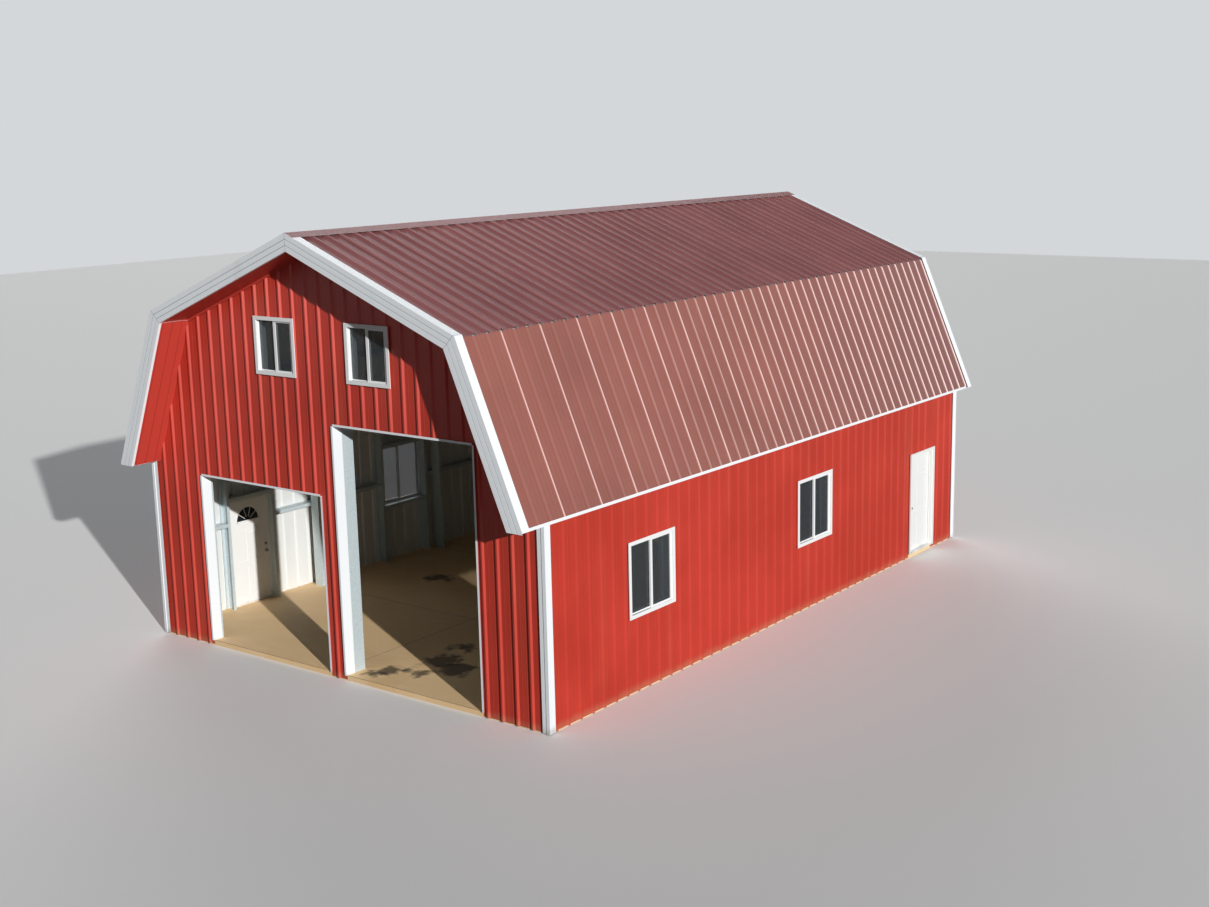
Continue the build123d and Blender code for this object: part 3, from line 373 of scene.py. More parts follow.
@dataclass(frozen=True)
class PaintedTrim:
    """Folded trim, soffit or door with one coat, a little soiled."""

    name: str
    coat: Colour
    soil: Colour = linear(160, 150, 134)
    soil_amount: float = 0.2
    roughness: float = 0.42
    gloss: float = 0.5
    soil_height: Span = (0.02, -0.16)

    def surface(self) -> Surface:
        """Makes the coat with its soil and relief."""
        surface = Surface(self.name, self.coat, self.roughness)
        surface.gloss(self.gloss)
        patches = surface.noise(1.4, (1.0, 1.0, 0.4), 5.0)
        surface.tint(surface.step(patches, 0.55, 0.85), self.soil, self.soil_amount)
        ragged = surface.share(surface.noise(4.0, detail=5.0), -0.3)
        height = surface.sum("ADD", surface.axis("Z"), ragged)
        surface.tint(surface.step(height, *self.soil_height), self.soil, 0.5)
        surface.sheen(patches, self.roughness - 0.06, self.roughness + 0.1)
        surface.coat_relief(surface.noise(2.4, detail=2.0), 0.003, 240.0)
        return surface

    def material(self) -> bpy.types.Material:
        """Makes the material."""
        return self.surface().material


@dataclass(frozen=True)
class RakePaint(PaintedTrim):
    """White trim of the gables, with painted shade in its grooves and dark lines along its seams.

    Grooves are given by how far out of the building they are along their slope's way out, and the mitre at
    the break by a line across and up.
    """

    # Blue-grey of the painted shade in the grooves, also drawn along the seams.
    painted_groove_shade_and_seam: Colour = linear(120, 134, 142)
    steep_grooves: Span = (5.5163, 5.4197)
    flat_grooves: Span = (6.8854, 6.7954)
    groove_line: Span = (0.007, 0.003)
    seam_line: Span = (0.005, 0.002)
    mitre_across: Span = (-0.7213, 0.6926)
    mitre_place: float = 1.7137

    def material(self) -> bpy.types.Material:
        """Makes the material."""
        surface = self.surface()
        mitre = surface.sum("SUBTRACT", surface.along(self.mitre_across), self.mitre_place)
        above = surface.sum("GREATER_THAN", mitre, 0.0)
        below = surface.sum("SUBTRACT", 1.0, above)
        # Painted shade: a blue-grey line along each groove, where shade would lie in it.
        for out, grooves, part in ((STEEP, self.steep_grooves, below), (FLAT, self.flat_grooves, above)):
            value = surface.along(out)
            for groove in grooves:
                line = surface.step(surface.away(value, groove), *self.groove_line)
                surface.tint(surface.sum("MULTIPLY", line, part), self.painted_groove_shade_and_seam, 0.75)
        # Dark lines along the mitre and the apex joint.
        for seam in (mitre, surface.axis("X")):
            line = surface.step(surface.sum("ABSOLUTE", seam), *self.seam_line)
            surface.tint(line, self.painted_groove_shade_and_seam, 0.8)
        return surface.material


@dataclass(frozen=True)
class SoffitPaint(PaintedTrim):
    """Red soffit with fine seams along it."""

    seam: Colour = linear(112, 26, 22)
    seam_pitch: float = 0.2
    seam_datum: float = 0.05
    seam_width: float = 0.005

    def material(self) -> bpy.types.Material:
        """Makes the material."""
        surface = self.surface()
        seams = surface.lines(surface.axis("Y"), self.seam_pitch, self.seam_datum, self.seam_width)
        surface.tint(seams, self.seam, 0.6)
        surface.relief(surface.share(seams, -1.0), 0.003)
        return surface.material


@dataclass(frozen=True)
class GalvanisedSteel:
    """Zinc coat with fine soft spangles and a few brighter runs."""

    name: str
    zinc: Colour = linear(208, 220, 222)
    dull: Colour = linear(170, 184, 190)
    bloom: Colour = linear(220, 224, 224)
    roughness: float = 0.42
    rough: Span = (0.34, 0.52)
    spangles_per_metre: float = 55.0

    def material(self) -> bpy.types.Material:
        """Makes the material."""
        surface = Surface(self.name, self.zinc, self.roughness, 0.15)
        inputs = {"Vector": surface.place, "Scale": self.spangles_per_metre}
        cells = surface.add("ShaderNodeTexVoronoi", inputs)
        spangle = surface.add("ShaderNodeSeparateColor", {0: cells.outputs["Color"]}).outputs[0]
        surface.tint(spangle, self.dull, 0.5)
        runs = surface.noise(1.1, (3.0, 3.0, 0.6), 5.0)
        surface.tint(surface.step(runs, 0.52, 0.8), self.bloom, 0.6)
        surface.sheen(spangle, *self.rough)
        surface.relief(surface.noise(30.0, detail=3.0), 0.0006, 0.5)
        return surface.material


@dataclass(frozen=True)
class SlabConcrete:
    """Trowelled concrete with saw cuts, wet stains by the tall opening and wear."""

    name: str
    concrete: Colour = linear(250, 212, 160)
    pale: Colour = linear(254, 228, 186)
    dark: Colour = linear(222, 180, 128)
    stain: Colour = linear(64, 54, 42)
    roughness: float = 0.7
    rough: Span = (0.5, 0.85)
    stains: tuple[tuple[Triple, float], ...] = (
        ((0.5, -6.7, SLAB_TOP), 0.06),
        ((0.66, -6.42, SLAB_TOP), 0.13),
        ((0.86, -6.28, SLAB_TOP), 0.1),
        ((1.18, -6.3, SLAB_TOP), 0.1),
        ((1.0, -5.6, SLAB_TOP), 0.3),
        ((1.5, -5.75, SLAB_TOP), 0.3),
        ((0.84, -4.85, SLAB_TOP), 0.22),
        ((-2.6, -1.8, SLAB_TOP), 0.2),
    )
    stain_edge: Span = (0.52, 0.3)
    cut_pitch: float = 3.505
    cut_along: float = -0.15
    cut_width: float = 0.008
    skin: float = 0.005

    def stained(self, surface: Surface) -> None:
        """Lays the wet stains, with ragged edges."""
        ragged = surface.share(surface.noise(4.5, detail=7.0), 0.8)
        for middle, radius in self.stains:
            inputs = {0: surface.place, 1: middle}
            distance = surface.add("ShaderNodeVectorMath", inputs, operation="DISTANCE").outputs["Value"]
            spread = surface.sum("ADD", distance, ragged)
            outer, inner = self.stain_edge
            surface.tint(surface.step(spread, radius + outer, radius + inner), self.stain, 0.85)

    def cuts(self, surface: Surface) -> Socket:
        """The saw cuts in the slab's top, one along it and some across."""
        across = surface.lines(surface.axis("Y"), self.cut_pitch, -HALF_LENGTH, self.cut_width)
        lengthwise = surface.line(surface.axis("X"), self.cut_along, self.cut_width)
        top = surface.sum("GREATER_THAN", surface.axis("Z"), SLAB_TOP - self.skin)
        return surface.sum("MULTIPLY", surface.sum("MAXIMUM", across, lengthwise), top)

    def material(self) -> bpy.types.Material:
        """Makes the material."""
        surface = Surface(self.name, self.concrete, self.roughness)
        broad = surface.noise(0.55, detail=5.0)
        swirl = surface.noise(2.6, (1.0, 2.6, 1.0), 6.0)
        surface.tint(surface.step(broad, 0.45, 0.78), self.dark, 0.45)
        surface.tint(surface.step(swirl, 0.45, 0.8), self.pale, 0.5)
        self.stained(surface)
        spots = surface.noise(1.25, detail=3.0)
        surface.tint(surface.step(spots, 0.68, 0.76), self.dark, 0.35)
        cuts = self.cuts(surface)
        surface.tint(cuts, self.stain, 0.7)
        surface.sheen(swirl, *self.rough)
        surface.relief(surface.noise(45.0, detail=5.0), 0.001, 0.6)
        surface.relief(surface.share(cuts, -1.0), 0.006)
        return surface.material


@dataclass(frozen=True)
class WindowGlass:
    """Glass with a dark tone painted on it as shade, standing in for the dark seen through it; it lets a part
    of the light through.
    """

    name: str
    # Dark tone painted on the glass as the shade behind it.
    tone: Colour = linear(70, 76, 80)
    cover: float = 0.45
    roughness: float = 0.03

    def material(self) -> bpy.types.Material:
        """Makes the material."""
        surface = Surface(self.name, self.tone, self.roughness)
        surface.shader.inputs["Alpha"].default_value = self.cover
        surface.relief(surface.noise(1.2, detail=1.0), 0.003, 0.5)
        return surface.material


@dataclass(frozen=True)
class DoorMetal:
    """Satin nickel of knobs, bolts and hinges."""

    name: str
    nickel: Colour = linear(178, 170, 156)
    wear_and_painted_highlight: Colour = linear(120, 112, 100)
    roughness: float = 0.3
    rough: Span = (0.22, 0.42)

    def material(self) -> bpy.types.Material:
        """Makes the material."""
        surface = Surface(self.name, self.nickel, self.roughness, 1.0)
        brushed = surface.noise(60.0, (1.0, 1.0, 6.0), 4.0)
        surface.tint(brushed, self.wear_and_painted_highlight, 0.5)
        surface.sheen(brushed, *self.rough)
        surface.relief(brushed, 0.0002, 0.4)
        return surface.material


RED = linear(194, 58, 42)
# The roof's one paint in two colours, each matched to how the light falls on its slopes: painted light and
# shade.
BURGUNDY_AS_LIT_BELOW_BREAK = linear(142, 76, 62)
BURGUNDY_AS_LIT_ABOVE_BREAK = linear(135, 83, 84)
WHITE = linear(245, 248, 250)
DOOR_WHITE = linear(238, 238, 235)
VINYL_WHITE = linear(242, 243, 242)
SOFFIT_RED = linear(198, 66, 54)
# Near black of the plugs in the open rib ends: painted shade.
RIB_END_SHADE_BLACK = linear(30, 24, 24)
RED_SOIL = linear(96, 50, 40)
LOWER_SOIL = linear(150, 110, 90)
UPPER_SOIL = linear(130, 96, 84)
RIB_END_SHADE_SOIL = linear(90, 80, 70)

SHEETS = {
    Side.FRONT: (
        "front_wall_left_sheets", "front_wall_right_sheets", "front_wall_pier_sheet",
        "small_opening_head_sheets", "large_opening_head_sheets",
    ),
    Side.REAR: ("rear_wall_sheets",),
    Side.RIGHT: ("right_wall_front_sheets", "right_wall_rear_sheets", "right_door_head_sheet"),
    Side.LEFT: ("left_wall_rear_sheets", "left_wall_front_sheets", "left_door_head_sheet"),
    Side.RIGHT_LOWER_SLOPE: ("right_lower_roof_sheets",),
    Side.RIGHT_UPPER_SLOPE: ("right_upper_roof_sheets",),
    Side.LEFT_LOWER_SLOPE: ("left_lower_roof_sheets",),
    Side.LEFT_UPPER_SLOPE: ("left_upper_roof_sheets",),
    Side.UP: ("ridge_cap",),
}

STEEL = (
    "side_columns", "gable_posts", "lower_rafters", "upper_rafters", "frame_gussets",
    "side_girts", "gable_girts", "lower_purlins", "upper_purlins", "opening_studs",
)


@dataclass(frozen=True)
class Hole:
    """What is cut out of a wall, across it and up it."""

    left: float
    right: float
    low: float
    high: float


@dataclass(frozen=True)
class Face:
    """A wall or slope: where it stands, where its ribs are and what is cut out of it."""

    side: Side
    origin: Triple
    across: Triple
    up: Triple
    rib_datum: float
    reach: float
    foot: float
    head: float
    rows: tuple[float, ...]
    holes: tuple[Hole, ...] = ()
    gable: bool = False
    steep_soffit: float = 5.3263
    flat_soffit: float = 6.7087
    soffit_clearance: float = 0.04

    def place(self, across: float, up: float, out: float, stretch: float = 1.0) -> Matrix:
        """Where a copy goes, its X across the face, its Y up it, stretched, and its Z out of it."""
        x_axis, y_axis = Vector(self.across), Vector(self.up)
        z_axis = x_axis.cross(y_axis)
        point = Vector(self.origin) + across * x_axis + up * y_axis + out * z_axis
        turn = Matrix((x_axis, y_axis * stretch, z_axis)).transposed()
        return Matrix.Translation(point) @ turn.to_4x4()

    def head_at(self, across: float) -> float:
        """The top of the face at a place across it, under the soffit on a gable."""
        if not self.gable:
            return self.head
        lower = (self.steep_soffit - STEEP[0] * abs(across)) / STEEP[1]
        upper = (self.flat_soffit - FLAT[0] * abs(across)) / FLAT[1]
        return min(lower, upper) - self.soffit_clearance

    def ribs(self) -> list[float]:
        """The places of the ribs across the face."""
        first = math.ceil((-self.reach - self.rib_datum) / RIB_PITCH)
        last = math.floor((self.reach - self.rib_datum) / RIB_PITCH)
        return [self.rib_datum + number * RIB_PITCH for number in range(first, last + 1)]

    def lap_ribs(self) -> list[float]:
        """The places of the ribs where one sheet laps the next."""
        return self.ribs()[FIRST_LAP::RIBS_PER_SHEET]

    def free(self, across: float, margin: float) -> list[Span]:
        """The stretches up the face, at a place across it, that no hole takes."""
        spans = [(self.foot, self.head_at(across))]
        for hole in self.holes:
            if hole.left - margin < across < hole.right + margin:
                below = [(start, min(end, hole.low)) for start, end in spans]
                above = [(max(start, hole.high), end) for start, end in spans]
                spans = [part for pair in zip(below, above) for part in pair]
        return [(start, end) for start, end in spans if end - start > 0.05]


BELOW_GROUND = -1.0
UPRIGHT = (0.0, 0.0, 1.0)
WALL_FOOT = 0.02
WALL_ROWS = (0.13, 1.77, 3.198)
GABLE_ROWS = (0.13, 1.77, 3.198, 4.389, 5.07, 6.09)
FRONT_ROWS = (0.13, 1.77, 3.198, 4.406, 5.07, 6.09)
STEEP_ROWS = (0.032, 1.259, 2.486)
FLAT_ROWS = (0.032, 1.238, 2.444)
GABLE_WINDOWS = (Hole(-1.58, -0.586, 5.083, 6.077), Hole(0.586, 1.58, 5.083, 6.077))
FRONT_OPENINGS = (Hole(-3.275, -0.151, BELOW_GROUND, 3.178), Hole(0.151, 3.275, BELOW_GROUND, 4.397))


def gable(side: Side, end: float, rows: tuple[float, ...], openings: tuple[Hole, ...] = ()) -> Face:
    """A gable wall; end is -1 at the front and 1 at the rear."""
    return Face(
        side, origin=(0.0, end * HALF_LENGTH, 0.0), across=(-end, 0.0, 0.0), up=UPRIGHT, rib_datum=-0.012,
        reach=4.44, foot=WALL_FOOT, head=0.0, rows=rows, holes=(*openings, *GABLE_WINDOWS), gable=True,
    )


def long_wall(side: Side, half: float, windows: tuple[Span, ...], door: Span) -> Face:
    """A side wall; half is 1 on the right, and the windows and the door are given by their edges along it."""
    holes = [Hole(*window, 1.27, 2.56) for window in windows]
    return Face(
        side, origin=(half * HALF_WIDTH, 0.0, 0.0), across=(0.0, half, 0.0), up=UPRIGHT, rib_datum=0.1524,
        reach=6.86, foot=WALL_FOOT, head=3.3, rows=WALL_ROWS, holes=(*holes, Hole(*door, BELOW_GROUND, 2.25)),
    )


def slope(side: Side, half: float) -> Face:
    """A slope of the roof; half is 1 on the right."""
    way, foot, head, rows = (STEEP, -0.17, 2.74, STEEP_ROWS) if side.steep else (FLAT, -0.01, 3.6, FLAT_ROWS)
    start = (HALF_WIDTH, EAVE_HEIGHT) if side.steep else (BREAK_ACROSS, BREAK_HEIGHT)
    return Face(
        side, origin=(half * start[0], 0.0, start[1]), across=(0.0, half, 0.0),
        up=(-half * way[1], 0.0, way[0]), rib_datum=half * 0.1098, reach=7.44,
        foot=foot, head=head, rows=rows,
    )


FACES = (
    gable(Side.FRONT, -1.0, FRONT_ROWS, FRONT_OPENINGS),
    gable(Side.REAR, 1.0, GABLE_ROWS),
    long_wall(Side.RIGHT, 1.0, ((-4.975, -3.685), (0.305, 1.595)), (4.905, 6.015)),
    long_wall(Side.LEFT, -1.0, ((-4.975, -3.685), (0.235, 1.525)), (4.5, 5.611)),
    slope(Side.RIGHT_LOWER_SLOPE, 1.0),
    slope(Side.RIGHT_UPPER_SLOPE, 1.0),
    slope(Side.LEFT_LOWER_SLOPE, -1.0),
    slope(Side.LEFT_UPPER_SLOPE, -1.0),
)


@dataclass
class Dressing:
    """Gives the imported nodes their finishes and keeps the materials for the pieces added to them."""

    sheets: dict[Side, tuple[str, ...]]
    faces: tuple[Face, ...]

    def __post_init__(self) -> None:
        """Makes the finishes that pieces share with the nodes."""
        door = PaintedTrim("door_white", DOOR_WHITE, roughness=0.38, soil_amount=0.12)
        lower = PaintedTrim("burgundy_as_lit_below_break_paint", BURGUNDY_AS_LIT_BELOW_BREAK, LOWER_SOIL, 0.15, 0.34, 0.9)
        upper = PaintedTrim("burgundy_as_lit_above_break_paint", BURGUNDY_AS_LIT_ABOVE_BREAK, UPPER_SOIL, 0.15, 0.36, 0.5)
        rib_end_shade = PaintedTrim("rib_end_shade_plug", RIB_END_SHADE_BLACK, RIB_END_SHADE_SOIL, 0.2, 0.8, 0.2)
        self.white = PaintedTrim("white_trim_paint", WHITE).material()
        self.rake = RakePaint("white_rake_paint", WHITE).material()
        self.door = door.material()
        self.zinc = GalvanisedSteel("zinc_coat").material()
        self.nickel = DoorMetal("satin_nickel").material()
        self.soffit = SoffitPaint("soffit_paint", SOFFIT_RED, RED_SOIL, 0.15).material()
        self.plain_red = PaintedTrim("red_paint", RED, RED_SOIL, 0.15, 0.36, 0.8).material()
        self.lower, self.upper = lower.material(), upper.material()
        self.rib_end_shade = rib_end_shade.material()

    def sheet_of(self, side: Side) -> bpy.types.Material:
        """The finish of a wall's or slope's sheets."""
        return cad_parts[self.sheets[side][0]].data.materials[0]

    def paint_of(self, side: Side) -> bpy.types.Material:
        """The plain paint of a wall or slope, for what is fixed to it."""
        if side.steep:
            return self.lower
        return self.upper if side.flat else self.plain_red

    def sheet_finish(self, side: Side) -> PaintedSheet:
        """The finish for the sheets of a side."""
        colour, gloss = RED, 0.6
        if side.steep:
            colour, gloss = BURGUNDY_AS_LIT_BELOW_BREAK, 1.0
        elif side.roof:
            colour, gloss = BURGUNDY_AS_LIT_ABOVE_BREAK, 0.1
        name = ("roof_" if side.roof else "wall_") + side.name.lower()
        lap = next((face.across[1] * face.lap_ribs()[0] for face in self.faces if face.side is side), 0.0)
        return PaintedSheet(name, side, colour, gloss, lap)

    def wear(self, material: bpy.types.Material, *nodes: str) -> None:
        """Puts a material on nodes in place of what they have."""
        for node in nodes:
            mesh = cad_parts[node].data
            mesh.materials.clear()
            mesh.materials.append(material)
            log.info("finish %s on %s", material.name, node)

    def build(self) -> None:
        """Dresses every node."""
        for side, nodes in self.sheets.items():
            self.wear(self.sheet_finish(side).material(), *nodes)
        vinyl = PaintedTrim("window_vinyl_white", VINYL_WHITE, roughness=0.36, soil_amount=0.1)
        self.wear(self.rake, "front_rake_trim", "rear_rake_trim")
        self.wear(self.white, "eave_trim", "corner_trim", "opening_trim")
        self.wear(self.soffit, "soffit_sheets")
        self.wear(vinyl.material(), "window_frames")
        self.wear(self.door, "right_door_frame", "left_door_frame", "right_door_leaf", "left_door_leaf")
        self.wear(self.zinc, *STEEL)
        self.wear(SlabConcrete("slab_concrete").material(), "floor_slab")
        self.wear(WindowGlass("dark_glass").material(), "window_glass")
        # Nearly opaque dark glass: painted shade for the dark behind the fan light.
        self.wear(WindowGlass("fan_glass", linear(30, 34, 36), 0.9).material(), "fan_light_glass")
        self.wear(self.nickel, "right_door_hardware", "left_door_hardware", "jamb_hinges")


@contextmanager
def shaping(piece: bpy.types.Object) -> Iterator[None]:
    """Holds a piece in edit mode, with all of it selected at first.

    Args:
        piece: The piece to shape.

    Yields:
        Nothing; edit mode ends with the block.
    """
    bpy.ops.object.select_all(action="DESELECT")
    piece.select_set(True)
    bpy.context.view_layer.objects.active = piece
    bpy.ops.object.mode_set(mode="EDIT")
    bpy.ops.mesh.select_mode(type="FACE")
    bpy.ops.mesh.select_all(action="SELECT")
    yield
    bpy.ops.object.mode_set(mode="OBJECT")
    piece.select_set(False)


def pick(piece: bpy.types.Object, wanted: Callable[[bmesh.types.BMFace], bool]) -> None:
    """Selects the faces of a piece in edit mode that pass a test.

    Args:
        piece: The piece, in edit mode.
        wanted: Says whether a face is to be selected.
    """
    mesh = bmesh.from_edit_mesh(piece.data)
    for face in mesh.faces:
        face.select_set(False)
    for face in mesh.faces:
        if wanted(face):
            face.select_set(True)
    bmesh.update_edit_mesh(piece.data)


def pick_top(piece: bpy.types.Object) -> None:
    """Selects the faces of a piece in edit mode that look up."""
    pick(piece, lambda face: face.normal.z > 0.9)


def block(name: str, size: Triple, middle: Triple) -> bpy.types.Object:
    """A box of a size about a middle, to be shaped further.

    Args:
        name: The piece's name.
        size: Its length along each axis.
        middle: Its middle.

    Returns:
        The new piece, with its size and place in its mesh.
    """
    bpy.ops.object.select_all(action="DESELECT")
    bpy.ops.mesh.primitive_cube_add(size=1.0, location=middle, scale=size)
    bpy.ops.object.transform_apply(location=True, rotation=True, scale=True)
    piece = bpy.context.object
    piece.name = name
    piece.select_set(False)
    return piece


def disc(corners: int, radius: float, thickness: float, middle_height: float) -> bpy.types.Object:
    """A flat washer lying on the plane of X and Y, to be shaped further.

    Args:
        corners: How many corners its outline has.
        radius: Its radius.
        thickness: Its thickness.
        middle_height: The height of its middle.

    Returns:
        The new piece, with its place in its mesh.
    """
    bpy.ops.object.select_all(action="DESELECT")
    bpy.ops.mesh.primitive_cylinder_add(
        vertices=corners, radius=radius, depth=thickness, location=(0.0, 0.0, middle_height)
    )
    bpy.ops.object.transform_apply(location=True, rotation=True, scale=True)
    return bpy.context.object


def copied(name: str, unit: bpy.types.Object, places: list[Matrix]) -> bpy.types.Object:
    """Copies a unit to each place, as one piece, and takes the unit away.

    Args:
        name: The new piece's name.
        unit: What is repeated.
        places: Where each copy goes.

    Returns:
        The new piece.
    """
    corners = [corner.co.copy() for corner in unit.data.vertices]
    outlines = [tuple(face.vertices) for face in unit.data.polygons]
    points: list[Vector] = []
    faces: list[tuple[int, ...]] = []
    for place in places:
        first = len(points)
        points.extend(place @ corner for corner in corners)
        faces.extend(tuple(first + number for number in outline) for outline in outlines)
    mesh = bpy.data.meshes.new(name)
    mesh.from_pydata(points, [], faces)
    bpy.data.objects.remove(unit)
    piece = bpy.data.objects.new(name, mesh)
    bpy.context.scene.collection.objects.link(piece)
    return piece


def settle(piece: bpy.types.Object, material: bpy.types.Material, body: str = "barn") -> None:
    """Gives a finished piece its material and the body that it rides on.

    Args:
        piece: The piece.
        material: Its finish.
        body: The body's name.
    """
    piece.data.materials.clear()
    piece.data.materials.append(material)
    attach(piece, body)
    log.info("piece %s on %s, %d faces", piece.name, body, len(piece.data.polygons))


def screw(washer_radius: float) -> bpy.types.Object:
    """Models a sheet screw with its washer.

    Args:
        washer_radius: Radius of the washer.

    Returns:
        The screw, its washer on the plane of X and Y.
    """
    washer_thickness, sunk, head_inset, head_rise = 0.0015, 0.0003, 0.0025, 0.0045
    piece = disc(8, washer_radius, washer_thickness, washer_thickness / 2 - sunk)
    with shaping(piece):
        pick_top(piece)
        bpy.ops.mesh.inset(thickness=head_inset)
        bpy.ops.mesh.extrude_region_move(TRANSFORM_OT_translate={"value": (0.0, 0.0, head_rise)})
    return piece


@dataclass
class SheetFittings:
    """What the sheets carry: small ribs, lap edges, screws, and dark plugs in the rib ends as painted shade.
    """

    faces: tuple[Face, ...]
    skin: float = 0.0013
    bed: float = 0.0005
    small_rib_width: float = 0.026
    small_rib_height: float = 0.002
    small_rib_top: float = 0.45
    lap_width: float = 0.008
    lap_height: float = 0.003
    lap_top: float = 0.5
    lap_beside: float = 0.041
    washer_radius: float = 0.0075
    screw_beside: float = 0.058
    plug_size: Triple = (0.068, 0.02, 0.0295)
    plug_middle: float = 0.01575
    plug_top: float = 0.34

    def tapered(self, name: str, size: Triple, middle_height: float, top: float) -> bpy.types.Object:
        """Models a bar with a narrower top.

        Args:
            name: The piece's name.
            size: Its width, length and height.
            middle_height: The height of its middle.
            top: The top's share of the width.

        Returns:
            The bar, about the origin.
        """
        bar = block(name, size, (0.0, 0.0, middle_height))
        with shaping(bar):
            pick_top(bar)
            bpy.ops.transform.resize(value=(top, 1.0, 1.0))
        return bar

    def small_rib(self) -> bpy.types.Object:
        """Models a metre of the low rib between two tall ones."""
        size = (self.small_rib_width, 1.0, self.small_rib_height + self.bed)
        return self.tapered("small_rib", size, (self.small_rib_height - self.bed) / 2, self.small_rib_top)

    def lap_edge(self) -> bpy.types.Object:
        """Models a metre of the sheet edge that laps the next sheet beside a tall rib."""
        size = (self.lap_width, 1.0, self.lap_height)
        return self.tapered("lap_edge", size, self.lap_height / 2 - self.bed, self.lap_top)

    def rib_end_shade(self) -> bpy.types.Object:
        """Models the dark plug that fills a rib's open end, painted shade for the dark inside it."""
        return self.tapered("rib_end_shade_plug", self.plug_size, self.plug_middle, self.plug_top)

    def small_rib_places(self, face: Face) -> list[Matrix]:
        """Where the small ribs run, two between each pair of tall ones."""
        small = [rib + RIB_PITCH * third / 3 for rib in face.ribs()[:-1] for third in (1, 2)]
        return [
            face.place(across, (low + high) / 2, self.skin, high - low)
            for across in small for low, high in face.free(across, 0.01)
        ]

    def lap_places(self, face: Face) -> list[Matrix]:
        """Where the sheets' edges run, each beside the rib that laps it."""
        towards = 1.0 if face.side is Side.FRONT or face.side.left else -1.0
        return [
            face.place(rib + towards * self.lap_beside, (low + high) / 2, self.skin, high - low)
            for rib in face.lap_ribs() for low, high in face.free(rib, 0.05)
        ]

    def screw_places(self, face: Face) -> list[Matrix]:
        """Where the screws sit: one beside each rib in each row, and two in the lowest row."""
        places = []
        for rib in face.ribs():
            for row in face.rows:
                lowest = row == face.rows[0]
                for beside in (-self.screw_beside, self.screw_beside) if lowest else (self.screw_beside,):
                    if any(low < row < high for low, high in face.free(rib + beside, 0.012)):
                        places.append(face.place(rib + beside, row, self.skin))
        return places

    def build(self, dressing: Dressing) -> None:
        """Lays the fittings on every wall and slope.

        Args:
            dressing: The finishes.
        """
        shade_plugs: list[Matrix] = []
        for face in self.faces:
            name = face.side.name.lower()
            sheet, paint = dressing.sheet_of(face.side), dressing.paint_of(face.side)
            strips = copied(f"{name}_small_ribs", self.small_rib(), self.small_rib_places(face))
            settle(strips, sheet)
            settle(copied(f"{name}_lap_edges", self.lap_edge(), self.lap_places(face)), sheet)
            screws = copied(f"{name}_screws", screw(self.washer_radius), self.screw_places(face))
            settle(screws, paint)
            # Dark plugs at the foot of the flatter slopes' ribs, as painted shade in the open rib ends.
            if face.side.flat:
                middle = face.foot + self.plug_size[1] / 2
                shade_plugs += [face.place(rib, middle, self.skin) for rib in face.ribs()]
        settle(copied("rib_end_shade_plugs", self.rib_end_shade(), shade_plugs), dressing.rib_end_shade)


def spaced(start: float, end: float, pitch: float) -> list[float]:
    """Places a pitch apart, from start to below end."""
    return [start + number * pitch for number in range(math.ceil((end - start) / pitch))]


